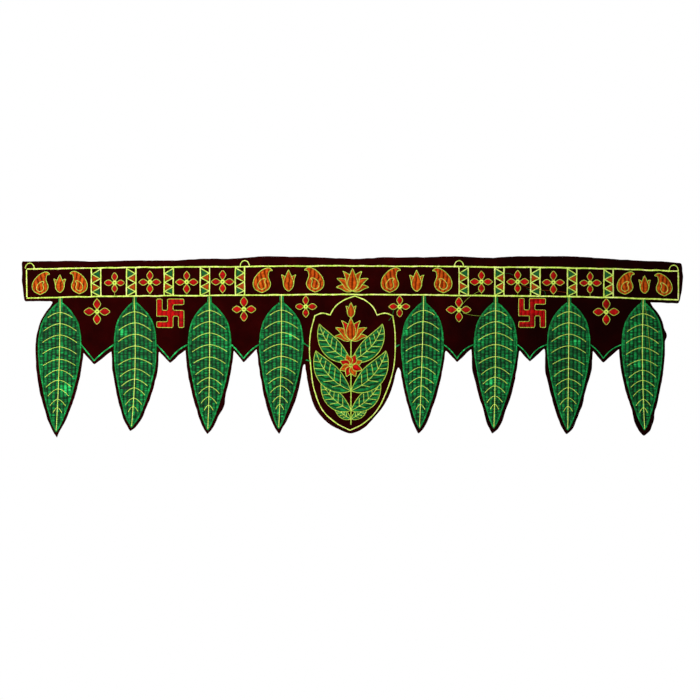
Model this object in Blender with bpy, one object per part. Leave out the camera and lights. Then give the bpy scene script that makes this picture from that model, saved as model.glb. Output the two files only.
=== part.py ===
"""A toran, the embroidered hanging that goes over a doorway.

It is one cut piece of dark maroon velvet: a long header strip with eight leaves and a rounded
shield hanging from it, joined by a web that ends in a small point between each two leaves. The
stitched leaves, the rope lines and the flowers stand a little proud of its front.

The sizes below are in millimetres and the mesh is written in metres. X runs along the header, +Z is
up and the front faces -Y. The origin is the middle of the top edge, on the back of the cloth.
"""

from collections import namedtuple

import bmesh
import bpy
import numpy as np
from mathutils.geometry import delaunay_2d_cdt

MM = 0.001

# Driving sizes of the cloth
HALF_LENGTH = 470.0
THICKNESS = 1.8

# The header: top edge and camber of its rope lines, as rows of (x, height)
TOP_EDGE = (
    (-470, -3.6),
    (-420, -3.8),
    (-370, -4.4),
    (-305, -2.3),
    (-255, -2.5),
    (-200, -0.6),
    (-166, 0.5),
    (-140, 2.4),
    (-85, 3.1),
    (-40, 2.0),
    (0, 0.0),
    (40, 1.6),
    (100, 1.4),
    (150, 2.8),
    (195, 1.8),
    (240, 2.9),
    (290, 3.8),
    (330, 2.2),
    (375, -0.9),
    (412, -3.3),
    (440, -3.9),
    (470, -6.5),
)
CAMBER = (
    (-470, -4.8),
    (-330, -2.4),
    (-180, -1.2),
    (-40, 0.1),
    (80, -0.5),
    (210, -1.6),
    (330, -3.2),
    (410, -5.4),
    (470, -8.0),
)
UPPER_LINE = -10.6
LOWER_LINE = -51.3
END_LINE_INSET = 7.0
HEADER_MARGIN_BELOW = 4.6
TOP_REACH, TOP_STATIONS = 440.0, 33
ROPE_STATIONS = 23

# The header's ends from top to bottom: rows of (inset from the end, share of the end's height)
LEFT_END = ((1.2, 0.0), (0.0, 0.05), (0.4, 0.52), (4.1, 0.98), (5.9, 1.0))
RIGHT_END = ((2.8, 0.0), (1.0, 0.11), (0.0, 0.32), (1.3, 0.64), (5.0, 0.93), (7.1, 1.0))
ROOT_REACH = 12.0

# Leaves: rows of (share of the leaf's length, stitched half width, cut half width)
LEAF_ROWS = (
    (0.00, 2.2, 9.8),
    (0.03, 9.0, 13.2),
    (0.06, 14.4, 18.2),
    (0.10, 20.3, 23.8),
    (0.15, 25.6, 29.0),
    (0.21, 28.8, 32.2),
    (0.30, 30.9, 34.2),
    (0.38, 30.9, 34.2),
    (0.46, 29.2, 32.6),
    (0.55, 26.4, 30.4),
    (0.65, 22.4, 26.8),
    (0.74, 18.3, 22.8),
    (0.84, 12.5, 17.0),
    (0.91, 8.2, 12.2),
    (0.96, 4.4, 8.0),
    (1.00, 0.0, 4.0),
)
CUT_TIP_SHARE = 1.028
LAST_STITCHED_SHARE = 0.985
LEAF_TOP = -61.9
# Each leaf's own form: `fuller` widens its lower part and `blunt` its cut tip, in mm on each side,
# `aside` and `drop` move the cut tip, and `vein_shift` and `vein_stretch` move its veins' shares
Leaf = namedtuple(
    "Leaf", "root_x tip_x tip_z bend breadth fuller blunt aside drop bow curl vein_shift vein_stretch"
)
LEAVES = (
    Leaf(-415.5, -420.8, -247.4, 1.3, 1.00, 0.5, 0.2, 1.6, 2.8, 4.0, 1.2, -0.002, -0.006),
    Leaf(-310.0, -313.4, -240.8, 3.0, 0.98, 2.3, 1.4, -1.8, 0.0, 6.5, -1.0, -0.007, 0.0245),
    Leaf(-203.6, -205.5, -244.6, 1.4, 1.00, 0.0, 0.7, -0.6, 0.6, 3.5, 1.4, -0.0165, 0.003),
    Leaf(-101.2, -104.8, -242.4, 1.4, 1.02, -0.3, 0.4, 1.0, 2.2, 5.5, 0.8, -0.020, 0.011),
    Leaf(101.0, 95.0, -242.2, 0.3, 0.98, 0.2, 1.2, -1.5, 1.6, 5.0, 1.0, -0.018, 0.010),
    Leaf(203.3, 200.6, -242.2, 0.9, 1.00, -0.3, 2.2, -2.2, 2.0, 3.0, -1.2, -0.0145, 0.0045),
    Leaf(307.4, 305.0, -244.6, 0.3, 1.00, 0.4, 1.4, -1.8, 0.3, 6.0, 1.3, -0.007, 0.001),
    Leaf(413.0, 414.7, -244.6, -2.0, 0.955, 0.7, 3.4, -1.3, 1.6, 4.5, -0.8, 0.0085, -0.005),
)
FULLER_FROM, FULLER_OVER, FULLER_END = 0.35, 0.20, 0.12
BLUNT_FROM, BLUNT_OVER = 0.84, 0.12
LEAF_STEPS = 14

# Veins: share of the leaf's length at the midrib, at the vein's end, and the end's share of the breadth
VEIN_ROWS = (
    (0.082, 0.122, 0.77),
    (0.168, 0.226, 0.80),
    (0.256, 0.315, 0.80),
    (0.347, 0.402, 0.80),
    (0.442, 0.492, 0.80),
    (0.524, 0.582, 0.78),
    (0.603, 0.657, 0.78),
    (0.671, 0.727, 0.75),
    (0.750, 0.802, 0.72),
    (0.815, 0.856, 0.52),
)
VEIN_SHARES, VEIN_POWER = (-1.0, -0.55, 0.0, 0.55, 1.0), 1.75
MIDRIB_END_SHARE, MIDRIB_STATIONS = 0.985, 8

# Points of the web between leaves: rows of (x, lowest point), by the number of the leaf to their left
WEB_POINTS = {
    0: (-367.0, -150.8),
    1: (-259.4, -149.2),
    2: (-154.9, -147.8),
    4: (148.5, -148.1),
    5: (251.8, -147.7),
    6: (356.3, -147.6),
}
# How far above its point the web meets the leaf to its left and the one to its right
WEB_RISE_LEFT, WEB_RISE_RIGHT = 17.0, 19.5
WEB_LINE_INSET = 5.6
WEB_LINE_TOP = -122.5
LEFT_SLIT = (-68.2, -150.0)
RIGHT_SLIT = (65.0, -154.3)
SLIT_MARGIN_SHARE = 0.03
LEAF_BEFORE_SHIELD = 3
# Where the cut strays outward from its usual line: rows of (x, z, distance, reach)
CUT_STRAYS = (
    (-184.6, -211.0, 2.4, 18.0),
    (128.0, -209.0, 1.6, 16.0),
    (169.4, -160.0, 2.2, 26.0),
    (273.6, -160.0, 1.8, 26.0),
    (341.0, -160.0, 1.8, 26.0),
    (328.6, -209.0, 1.6, 16.0),
    (444.0, -109.3, 3.0, 10.0),
)

# Shield: rows of (height, cut half width, place of its middle)
SHIELD_X = -2.4
SHIELD_ROWS = (
    (-158.5, 65.2, -2.1),
    (-173.0, 61.9, -2.3),
    (-187.0, 58.3, -2.8),
    (-198.4, 54.5, -3.9),
    (-209.7, 49.1, -5.5),
    (-220.0, 42.1, -6.6),
    (-229.5, 33.2, -6.4),
    (-238.2, 23.6, -4.6),
    (-244.4, 12.9, -2.8),
    (-248.6, 0.0, -2.4),
)
SHIELD_STEP = 11.0
# The stitched line inside the shield: rows of (half width, height, lean of its middle)
SHIELD_LINE_ROWS = (
    (0.0, -53.2, 3.4),
    (17.0, -60.5, 2.6),
    (27.5, -69.5, 2.0),
    (33.4, -80.4, 1.6),
    (44.6, -77.6, 2.0),
    (55.4, -81.4, 1.8),
    (59.6, -103.0, 0.6),
    (60.9, -126.4, -0.2),
    (59.0, -153.7, -0.3),
    (51.6, -186.8, -2.6),
    (38.2, -216.0, -3.8),
    (17.2, -235.3, -3.4),
    (0.0, -244.0, -3.3),
)
# Rows of that line where it turns sharply: the apex, the cusp, the corner and the lowest point
SHIELD_TURNS = (0, 3, 5, 12)
SHIELD_BOW = 3.0

# Separators in the header: rows of (middle x, side of the zigzag's first point)
SEPARATORS = (
    (-364.2, 1),
    (-314.3, -1),
    (-261.0, 1),
    (-209.7, -1),
    (-159.8, -1),
    (157.9, 1),
    (208.7, -1),
    (259.7, 1),
    (311.9, -1),
    (363.8, -1),
)
SEPARATOR_HALF_WIDTH = 6.6
ZIGZAG_HALF_WIDTH = 5.8
ZIGZAG_SHARES = (0.05, 0.22, 0.38, 0.53, 0.69, 0.84, 0.98)

# Four-petal flowers: rows of (x, z, reach of a petal)
FLOWERS = (
    (-337.9, -34.6, 14.4),
    (-287.8, -33.7, 16.0),
    (-235.6, -33.6, 16.0),
    (-184.6, -33.1, 16.0),
    (183.2, -33.1, 16.0),
    (234.6, -33.1, 16.0),
    (285.3, -34.1, 16.0),
    (337.4, -34.8, 15.6),
    (-362.9, -75.5, 18.4),
    (-154.3, -72.2, 17.6),
    (-66.4, -68.4, 15.2),
    (67.0, -68.4, 15.0),
    (151.2, -72.7, 17.9),
    (360.5, -75.9, 18.4),
)
FLOWER_CENTRE = 3.2
# Outline of a petal on its upper side: rows of (share of its reach, half width as a share of it)
PETAL_ROWS = ((0.16, 0.0), (0.62, 0.30), (1.0, 0.0))

# How far the stitching stands proud of the velvet
PAD_HEIGHT = 0.7
PAD_EDGE = 0.9
PETAL_HEIGHT = 0.6
CENTRE_HEIGHT = 0.9
ROPE_HALF_WIDTH, ROPE_HEIGHT = 1.3, 0.9
FINE_HALF_WIDTH, FINE_HEIGHT = 0.95, 0.55
THREAD_COLOUR_SHARE = 0.15
MERGE_DISTANCE = 0.02
LEAST_MITRE = 0.6

# How the cloth hangs from its four nail points
NAIL_X = (-458.6, -153.1, 151.4, 456.5)
NAIL_LEVEL = -9.8
NAIL_FLAT_HALF_WIDTH, NAIL_FLAT_HALF_HEIGHT = 9.0, 6.0
SPAN_BELLY = 2.0
SPAN_FLAT_SHARE, SPAN_EASE_SHARE = 0.07, 0.36
BOW_TOP, BOW_DROP, MOST_FALL = -62.0, 185.0, 1.1
CURL_REACH = 40.0

# The back's plain grid, and how far its points stay from the grid's corner, the cut edge and the nails
BACK_GRID, BACK_GRID_START = 30.0, 6.0
BACK_EDGE_GAP, BACK_NAIL_GAP = 5.0, 4.0

# The small stitched arch that marks each nail point on the front
NAIL_MARK_HALF_WIDTH, NAIL_MARK_HEIGHT = 6.4, 8.6
NAIL_MARK_POINTS = 6

THREADS = {
    "velvet": ((0.022, 0.0015, 0.0025), 0.95),
    "green_thread": ((0.010, 0.16, 0.045), 0.45),
    "lime_thread": ((0.56, 0.74, 0.10), 0.45),
    "red_thread": ((0.46, 0.006, 0.008), 0.45),
}

Pad = namedtuple("Pad", "loop height thread")
Ridge = namedtuple("Ridge", "line half_width height thread")


def clear_scene():
    for thing in list(bpy.data.objects):
        bpy.data.objects.remove(thing)


def smooth(rows, at, column=1):
    """The value of one column where the first column is `at`, on a smooth curve through the rows."""
    table = np.array(rows, dtype=float)
    stations, values = table[:, 0], table[:, column]
    slopes = np.gradient(values, stations)
    at = np.clip(at, stations[0], stations[-1])
    row = np.clip(np.searchsorted(stations, at) - 1, 0, len(stations) - 2)
    gap = stations[row + 1] - stations[row]
    share = (at - stations[row]) / gap
    return (
        values[row] * (1 + 2 * share) * (1 - share) ** 2
        + values[row + 1] * share**2 * (3 - 2 * share)
        + gap * slopes[row] * share * (1 - share) ** 2
        + gap * slopes[row + 1] * share**2 * (share - 1)
    )


def smooth_line(points, step):
    """A smooth open line through the points, with a point about every step."""
    points = np.array(points, dtype=float)
    travel = np.cumsum(np.linalg.norm(np.diff(points, axis=0), axis=1))
    rows = np.column_stack((np.append(0.0, travel), points))
    at = np.linspace(0.0, travel[-1], max(2, round(travel[-1] / step)) + 1)
    return np.column_stack((smooth(rows, at, 1), smooth(rows, at, 2)))


def ease(share):
    share = np.clip(share, 0.0, 1.0)
    return share * share * (3.0 - 2.0 * share)


def header_height(x, level):
    """Height of a line that follows the header's camber."""
    return level + smooth(CAMBER, x)


def leaf_half_width(leaf, share, column):
    """Half the leaf's breadth inside its stitched (column 1) or cut (column 2) edge."""
    half_width = leaf.breadth * smooth(LEAF_ROWS, share, column)
    lower = ease((share - FULLER_FROM) / FULLER_OVER) * ease((1.0 - share) / FULLER_END)
    tip = ease((share - BLUNT_FROM) / BLUNT_OVER) * (column == 2)
    return half_width + leaf.fuller * lower + leaf.blunt * tip


def leaf_middle(leaf, share):
    sideways = 4.0 * leaf.bend * np.clip(share, 0, 1) * (1 - np.clip(share, 0, 1))
    return leaf.root_x + (leaf.tip_x - leaf.root_x) * share + sideways


def leaf_height(leaf, share):
    return LEAF_TOP + (leaf.tip_z - LEAF_TOP) * share


def leaf_edge(leaf, share, side, column):
    """A point of the leaf's stitched (column 1) or cut (column 2) edge."""
    across = side * leaf_half_width(leaf, share, column)
    return leaf_middle(leaf, share) + across, leaf_height(leaf, share)


def leaf_share(leaf, height):
    return (height - LEAF_TOP) / (leaf.tip_z - LEAF_TOP)


def cut_side(leaf, side, start):
    """The leaf's cut edge on one side, from a share of its length down to the last row."""
    return [
        leaf_edge(leaf, share, side, 2) for share in np.linspace(start, 1.0, LEAF_STEPS)
    ]


def cut_leaf(number):
    """The cut edge of one leaf, from its left start round the tip to its right start."""
    leaf = LEAVES[number]
    starts = []
    webs = ((number - 1, WEB_RISE_RIGHT, RIGHT_SLIT), (number, WEB_RISE_LEFT, LEFT_SLIT))
    for web, rise, slit in webs:
        if web in WEB_POINTS:
            starts.append(leaf_share(leaf, WEB_POINTS[web][1] + rise))
        elif 0 <= web < len(LEAVES) - 1:
            starts.append(leaf_share(leaf, slit[1]) + SLIT_MARGIN_SHARE)
        else:
            starts.append(0.0)
    tip_x = leaf_middle(leaf, CUT_TIP_SHARE) + leaf.aside
    tip = (tip_x, leaf_height(leaf, CUT_TIP_SHARE) - leaf.drop)
    return cut_side(leaf, -1, starts[0]) + [tip] + cut_side(leaf, 1, starts[1])[::-1]


def cut_shield():
    left = [(middle - half_width, z) for z, half_width, middle in SHIELD_ROWS]
    right = [(middle + half_width, z) for z, half_width, middle in SHIELD_ROWS[-2::-1]]
    return [tuple(point) for point in smooth_line(left + right, SHIELD_STEP)]


def header_end(rows, side):
    """One end of the header, from its top corner down to the first leaf beside it."""
    end, bottom = side * HALF_LENGTH, LOWER_LINE - HEADER_MARGIN_BELOW
    top, low = smooth(TOP_EDGE, end), header_height(end, bottom)
    points = [(end - side * inset, top + share * (low - top)) for inset, share in rows]
    root = LEAVES[0 if side < 0 else -1].root_x + side * ROOT_REACH
    return points + [(root, header_height(root, bottom))]


def strayed(outline):
    """The same closed outline, moved outward where the cut strays."""
    outward = outline - offset_loop(outline, 1.0)
    for x, z, distance, reach in CUT_STRAYS:
        away = np.hypot(outline[:, 0] - x, outline[:, 1] - z) / reach
        outline = outline + outward * (distance * ease(1.0 - away))[:, None]
    return outline


def cloth_outline():
    """The cut edge of the cloth, anticlockwise as seen from the front."""
    outline = header_end(LEFT_END, -1)
    for number in range(len(LEAVES)):
        outline += cut_leaf(number)
        if number in WEB_POINTS:
            outline.append(WEB_POINTS[number])
        elif number == LEAF_BEFORE_SHIELD:
            outline += [LEFT_SLIT] + cut_shield() + [RIGHT_SLIT]
    outline += header_end(RIGHT_END, 1)[::-1]
    stations = np.linspace(TOP_REACH, -TOP_REACH, TOP_STATIONS)
    return strayed(np.array(outline + [(x, smooth(TOP_EDGE, x)) for x in stations]))


def stitched_leaf(leaf):
    shares = np.linspace(0.0, LAST_STITCHED_SHARE, LEAF_STEPS + 1)
    left = [leaf_edge(leaf, share, -1, 1) for share in shares]
    right = [leaf_edge(leaf, share, 1, 1) for share in shares[::-1]]
    tip = (leaf_middle(leaf, 1.0), leaf_height(leaf, 1.0))
    return np.array(left + [tip] + right)


def petal(x, z, reach, turn):
    """One kite-shaped petal, `turn` quarter turns from the right-hand one."""
    lower = [(along, -across) for along, across in PETAL_ROWS]
    kite = np.array(lower + list(PETAL_ROWS[-2:0:-1])) * reach
    for _ in range(turn):
        kite = np.column_stack((-kite[:, 1], kite[:, 0]))
    return kite + (x, z)


def flower_centre(x, z):
    turns = np.arange(6) * np.pi / 3.0
    return np.column_stack((np.cos(turns), np.sin(turns))) * FLOWER_CENTRE + (x, z)


def all_pads():
    pads = [Pad(stitched_leaf(leaf), PAD_HEIGHT, "green_thread") for leaf in LEAVES]
    for x, z, reach in FLOWERS:
        for turn in range(4):
            pads.append(Pad(petal(x, z, reach, turn), PETAL_HEIGHT, "red_thread"))
        pads.append(Pad(flower_centre(x, z), CENTRE_HEIGHT, "lime_thread"))
    return pads


def rope(line, thread="lime_thread"):
    return Ridge(np.array(line), ROPE_HALF_WIDTH, ROPE_HEIGHT, thread)


def fine(line, thread="lime_thread"):
    return Ridge(np.array(line), FINE_HALF_WIDTH, FINE_HEIGHT, thread)


def header_ridges():
    """The header's two long rope lines, its ends, and each separator with its zigzag."""
    reach = HALF_LENGTH - END_LINE_INSET
    ridges = []
    for level in (UPPER_LINE, LOWER_LINE):
        stations = np.linspace(-reach, reach, ROPE_STATIONS)
        ridges.append(rope([(x, header_height(x, level)) for x in stations]))
    uprights = [-reach, reach]
    for middle, _ in SEPARATORS:
        uprights += [middle - SEPARATOR_HALF_WIDTH, middle + SEPARATOR_HALF_WIDTH]
    for x in uprights:
        top = header_height(x, UPPER_LINE - ROPE_HALF_WIDTH)
        bottom = header_height(x, LOWER_LINE + ROPE_HALF_WIDTH)
        ridges.append(rope([(x, top), (x, bottom)]))
    for middle, side in SEPARATORS:
        line = []
        for number, share in enumerate(ZIGZAG_SHARES):
            x = middle + side * (-1) ** number * ZIGZAG_HALF_WIDTH
            line.append((x, header_height(x, UPPER_LINE + share * (LOWER_LINE - UPPER_LINE))))
        ridges.append(fine(line))
    return ridges


def nail_marks():
    """The arches that stand on the upper rope line at the nail points."""
    marks = []
    for x in NAIL_X:
        foot = header_height(x, UPPER_LINE) + ROPE_HALF_WIDTH
        turns = np.linspace(0.0, np.pi, NAIL_MARK_POINTS)
        across = x + NAIL_MARK_HALF_WIDTH * np.cos(turns)
        up = foot + (NAIL_MARK_HEIGHT - ROPE_HALF_WIDTH) * np.sin(turns)
        marks.append(fine(np.column_stack((across, up))))
    return marks


def leaf_ridges(leaf):
    """Midrib and veins, each an arch from one side of the leaf to the other that peaks at the midrib."""
    line = [(leaf.root_x, header_height(leaf.root_x, LOWER_LINE - ROPE_HALF_WIDTH))]
    for share in np.linspace(0.0, MIDRIB_END_SHARE, MIDRIB_STATIONS):
        line.append((leaf_middle(leaf, share), leaf_height(leaf, share)))
    ridges = [fine(line)]
    for inner, outer, reach in VEIN_ROWS:
        inner, outer = (
            share * (1.0 + leaf.vein_stretch) + leaf.vein_shift for share in (inner, outer)
        )
        peak_x, peak_z = leaf_middle(leaf, inner), leaf_height(leaf, inner)
        edge_x, end_z = leaf_edge(leaf, outer, 1, 1)
        breadth = reach * (edge_x - leaf_middle(leaf, outer))
        arch = [
            (peak_x + share * breadth, peak_z + abs(share) ** VEIN_POWER * (end_z - peak_z))
            for share in VEIN_SHARES
        ]
        ridges.append(fine(arch))
    return ridges


def web_ridges():
    """Green lines from leaf to leaf along each point of the web."""
    ridges = []
    for number, (x, z) in WEB_POINTS.items():
        left, right = LEAVES[number], LEAVES[number + 1]
        start = leaf_edge(left, leaf_share(left, WEB_LINE_TOP), 1, 1)
        end = leaf_edge(right, leaf_share(right, WEB_LINE_TOP), -1, 1)
        ridges.append(fine([start, (x, z + WEB_LINE_INSET), end], "green_thread"))
    return ridges


def shield_ridge():
    """The stitched line round the shield: an ogee arch over a long rounded point."""
    sides = []
    for side in (-1, 1):
        line = [(lean + side * half_width, z) for half_width, z, lean in SHIELD_LINE_ROWS]
        sides.append(line[:1])
        for first, last in zip(SHIELD_TURNS[:-1], SHIELD_TURNS[1:]):
            sides[-1] += list(smooth_line(line[first : last + 1], SHIELD_STEP))[1:]
    left, right = sides
    return fine(left + right[-2::-1])


def all_ridges():
    ridges = header_ridges() + nail_marks() + web_ridges() + [shield_ridge()]
    for leaf in LEAVES:
        ridges += leaf_ridges(leaf)
    return ridges


def belly(x):
    """How far the header bellies forward between two nail points, flat close to each."""
    nails = np.array(NAIL_X)
    span = np.clip(np.searchsorted(nails, x) - 1, 0, len(nails) - 2)
    share = (x - nails[span]) / (nails[span + 1] - nails[span])
    near_end = np.minimum(share, 1.0 - share)
    return SPAN_BELLY * ease((near_end - SPAN_FLAT_SHARE) / SPAN_EASE_SHARE)


def hang(points):
    """How far back the hung cloth lies at each (x, z): 0 at the nails, less than 0 forward of them."""
    x, z = points[:, 0], points[:, 1]
    fall = np.clip((BOW_TOP - z) / BOW_DROP, 0.0, MOST_FALL)
    middles = [(leaf.root_x, leaf.bow) for leaf in LEAVES] + [(SHIELD_X, SHIELD_BOW)]
    bow = smooth(sorted(middles), x)
    curl = np.zeros(len(points))
    for leaf in LEAVES:
        across = (x - leaf_middle(leaf, leaf_share(leaf, z))) / CURL_REACH
        curl += leaf.curl * across**2 * (np.abs(across) < 1.0) * fall
    return -belly(x) - bow * fall**2 - curl


def offset_line(line, distance):
    """An open line moved sideways, to its left for a positive distance."""
    steps = np.diff(line, axis=0)
    steps /= np.linalg.norm(steps, axis=1)[:, None]
    across = np.column_stack((-steps[:, 1], steps[:, 0]))
    normals = np.vstack((across[:1], across[:-1] + across[1:], across[-1:]))
    normals /= np.linalg.norm(normals, axis=1)[:, None]
    inner = np.concatenate(([1.0], np.sum(normals[1:-1] * across[:-1], axis=1), [1.0]))
    return line + normals * (distance / np.maximum(inner, LEAST_MITRE))[:, None]


def offset_loop(loop, distance):
    """A closed anticlockwise loop moved inwards."""
    wrapped = np.vstack((loop[-1:], loop, loop[:1]))
    return offset_line(wrapped, distance)[1:-1]


def ridge_foot(ridge):
    """The closed line at the foot of a ridge, pointed at both ends."""
    line = ridge.line
    start, end = line[0] - line[1], line[-1] - line[-2]
    start_tip = line[0] + start / np.linalg.norm(start) * ridge.half_width
    end_tip = line[-1] + end / np.linalg.norm(end) * ridge.half_width
    right = offset_line(line, -ridge.half_width)
    left = offset_line(line, ridge.half_width)
    return np.vstack((start_tip, right, end_tip, left[::-1]))


def distance_to_line(points, line):
    """Shortest distance from each point to an open line."""
    nearest = np.full(len(points), np.inf)
    for start, end in zip(line[:-1], line[1:]):
        along = end - start
        share = np.clip((points - start) @ along / (along @ along), 0.0, 1.0)
        gaps = points - start - share[:, None] * along
        nearest = np.minimum(nearest, np.linalg.norm(gaps, axis=1))
    return nearest


def inside(points, loop):
    """Whether each point is inside a closed loop."""
    crossed = np.zeros(len(points), dtype=bool)
    for (x0, z0), (x1, z1) in zip(loop, np.roll(loop, -1, axis=0)):
        if z0 == z1:
            continue
        between = (z0 > points[:, 1]) != (z1 > points[:, 1])
        crossing = x0 + (points[:, 1] - z0) * (x1 - x0) / (z1 - z0)
        crossed ^= between & (points[:, 0] < crossing)
    return crossed


def near(points, shape, margin):
    low, high = shape.min(axis=0) - margin, shape.max(axis=0) + margin
    return np.flatnonzero(np.all((points >= low) & (points <= high), axis=1))


def lift(points, pads, ridges):
    """How far the stitching stands proud of the cloth at each point, and the thread there."""
    height = np.zeros(len(points))
    thread = np.zeros(len(points), dtype=int)
    names = list(THREADS)
    for pad in pads:
        found = near(points, pad.loop, 0.0)
        found = found[inside(points[found], pad.loop)]
        closed = np.vstack((pad.loop, pad.loop[:1]))
        rise = np.clip(distance_to_line(points[found], closed) / PAD_EDGE, 0.0, 1.0)
        height[found] = np.maximum(height[found], pad.height * rise)
        thread[found] = names.index(pad.thread)
    raised = np.zeros(len(points))
    for ridge in ridges:
        found = near(points, ridge.line, ridge.half_width)
        gaps = distance_to_line(points[found], ridge.line)
        rise = ridge.height * np.clip(1.0 - gaps / ridge.half_width, 0.0, 1.0)
        thread[found[rise > THREAD_COLOUR_SHARE * ridge.height]] = names.index(ridge.thread)
        raised[found] = np.maximum(raised[found], rise)
    return height + raised, thread


def triangulate(outline, loops, lines, points):
    """Triangles over the outline that follow every loop and line. Outline points come first."""
    vertices, edges = [], []
    for shape, closed in [(outline, True)] + [(s, True) for s in loops] + [(s, False) for s in lines]:
        first = len(vertices)
        vertices += [tuple(point) for point in shape]
        edges += [(first + i, first + i + 1) for i in range(len(shape) - 1)]
        if closed:
            edges.append((len(vertices) - 1, first))
    vertices += [tuple(point) for point in points]
    inside_only = 1
    found = delaunay_2d_cdt(vertices, edges, [], inside_only, MERGE_DISTANCE)
    places = np.array([tuple(place) for place in found[0]])
    rim = {}
    for number, sources in enumerate(found[3]):
        for source in sources:
            if source < len(outline):
                rim[source] = number
    return places, found[2], [rim[number] for number in range(len(outline))]


def back_points(outline):
    """A plain grid inside the outline, for the back of the cloth."""
    low, high = outline.min(axis=0) + BACK_GRID_START, outline.max(axis=0)
    grid_x, grid_z = np.meshgrid(
        np.arange(low[0], high[0], BACK_GRID), np.arange(low[1], high[1], BACK_GRID)
    )
    grid = np.column_stack((grid_x.ravel(), grid_z.ravel()))
    closed = np.vstack((outline, outline[:1]))
    clear = inside(grid, outline) & (distance_to_line(grid, closed) > BACK_EDGE_GAP)
    for x in NAIL_X:
        aside = np.abs(grid[:, 0] - x) > NAIL_FLAT_HALF_WIDTH + BACK_NAIL_GAP
        below = grid[:, 1] < nail_height(x) - NAIL_FLAT_HALF_HEIGHT - BACK_NAIL_GAP
        clear &= aside | below
    return grid[clear]


def nail_height(x):
    return header_height(x, NAIL_LEVEL)


def nail_flats():
    """The small rectangles on the back where a nail or a hook holds the header."""
    corners = np.array([(-1, -1), (1, -1), (1, 1), (-1, 1)])
    size = (NAIL_FLAT_HALF_WIDTH, NAIL_FLAT_HALF_HEIGHT)
    return [corners * size + (x, nail_height(x)) for x in NAIL_X]


def thread_materials():
    materials = []
    for name, (colour, roughness) in THREADS.items():
        material = bpy.data.materials.new(name)
        material.use_nodes = True
        shader = material.node_tree.nodes["Principled BSDF"]
        shader.inputs["Base Color"].default_value = (*colour, 1.0)
        shader.inputs["Roughness"].default_value = roughness
        shader.inputs["Metallic"].default_value = 0.0
        materials.append(material)
    return materials


def cloth_mesh():
    """The closed sheet: raised front, plain back and the cut edge between them."""
    outline = cloth_outline()
    pads, ridges = all_pads(), all_ridges()
    loops = []
    for pad in pads:
        loops += [pad.loop, offset_loop(pad.loop, PAD_EDGE)]
    loops += [ridge_foot(ridge) for ridge in ridges]
    crests = [ridge.line for ridge in ridges]
    front, front_faces, front_rim = triangulate(outline, loops, crests, [])
    back, back_faces, back_rim = triangulate(outline, nail_flats(), [], back_points(outline))

    proud, _ = lift(front, pads, ridges)
    proud[front_rim] = 0.0
    shell = bmesh.new()
    front_y = hang(front) - THICKNESS - proud
    front_vertices = [
        shell.verts.new((x * MM, y * MM, z * MM)) for (x, z), y in zip(front, front_y)
    ]
    back_vertices = [
        shell.verts.new((x * MM, y * MM, z * MM)) for (x, z), y in zip(back, hang(back))
    ]
    for face in front_faces:
        shell.faces.new([front_vertices[i] for i in face])
    for face in back_faces:
        shell.faces.new([back_vertices[i] for i in reversed(face)])
    for here, after in zip(range(len(outline)), list(range(1, len(outline))) + [0]):
        shell.faces.new(
            (
                front_vertices[front_rim[here]],
                back_vertices[back_rim[here]],
                back_vertices[back_rim[after]],
                front_vertices[front_rim[after]],
            )
        )
    centres = np.array([front[list(face)].mean(axis=0) for face in front_faces])
    _, threads = lift(centres, pads, ridges)
    shell.faces.ensure_lookup_table()
    for number, thread in enumerate(threads):
        shell.faces[number].material_index = int(thread)
    mesh = bpy.data.meshes.new("cloth")
    shell.to_mesh(mesh)
    shell.free()
    return mesh


def main():
    clear_scene()
    mesh = cloth_mesh()
    for material in thread_materials():
        mesh.materials.append(material)
    cloth = bpy.data.objects.new("cloth", mesh)
    bpy.context.scene.collection.objects.link(cloth)


main()
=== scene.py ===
"""An embroidered toran of dark velvet: the sheet, its machine stitches, the light and the camera.

Sizes are in millimetres until a mesh is made. X runs along the header, +Z is up and the front
faces -Y. The cut edge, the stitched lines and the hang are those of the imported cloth, so that
every stitch lies on it. A place on the cloth is (x, z), and a level is how far it stands proud.
"""

from collections import namedtuple

import bpy
import numpy as np
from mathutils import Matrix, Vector
from mathutils.geometry import delaunay_2d_cdt


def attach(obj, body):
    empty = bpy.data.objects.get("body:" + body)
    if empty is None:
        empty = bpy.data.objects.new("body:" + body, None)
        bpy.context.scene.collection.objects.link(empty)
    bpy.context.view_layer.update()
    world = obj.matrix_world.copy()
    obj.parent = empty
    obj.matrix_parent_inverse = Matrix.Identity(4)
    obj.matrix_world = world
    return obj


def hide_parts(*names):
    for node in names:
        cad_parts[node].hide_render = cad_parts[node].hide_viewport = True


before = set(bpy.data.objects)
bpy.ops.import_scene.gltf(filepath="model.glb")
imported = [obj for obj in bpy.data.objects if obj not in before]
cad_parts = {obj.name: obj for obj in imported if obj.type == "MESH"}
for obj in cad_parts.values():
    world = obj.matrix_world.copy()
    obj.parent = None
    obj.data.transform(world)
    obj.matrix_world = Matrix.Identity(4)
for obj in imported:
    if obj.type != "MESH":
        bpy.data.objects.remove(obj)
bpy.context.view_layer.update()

MM = 0.001
DICE = np.random.default_rng(37)

# Driving sizes of the cloth
HALF_LENGTH, THICKNESS = 470.0, 1.8

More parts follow.
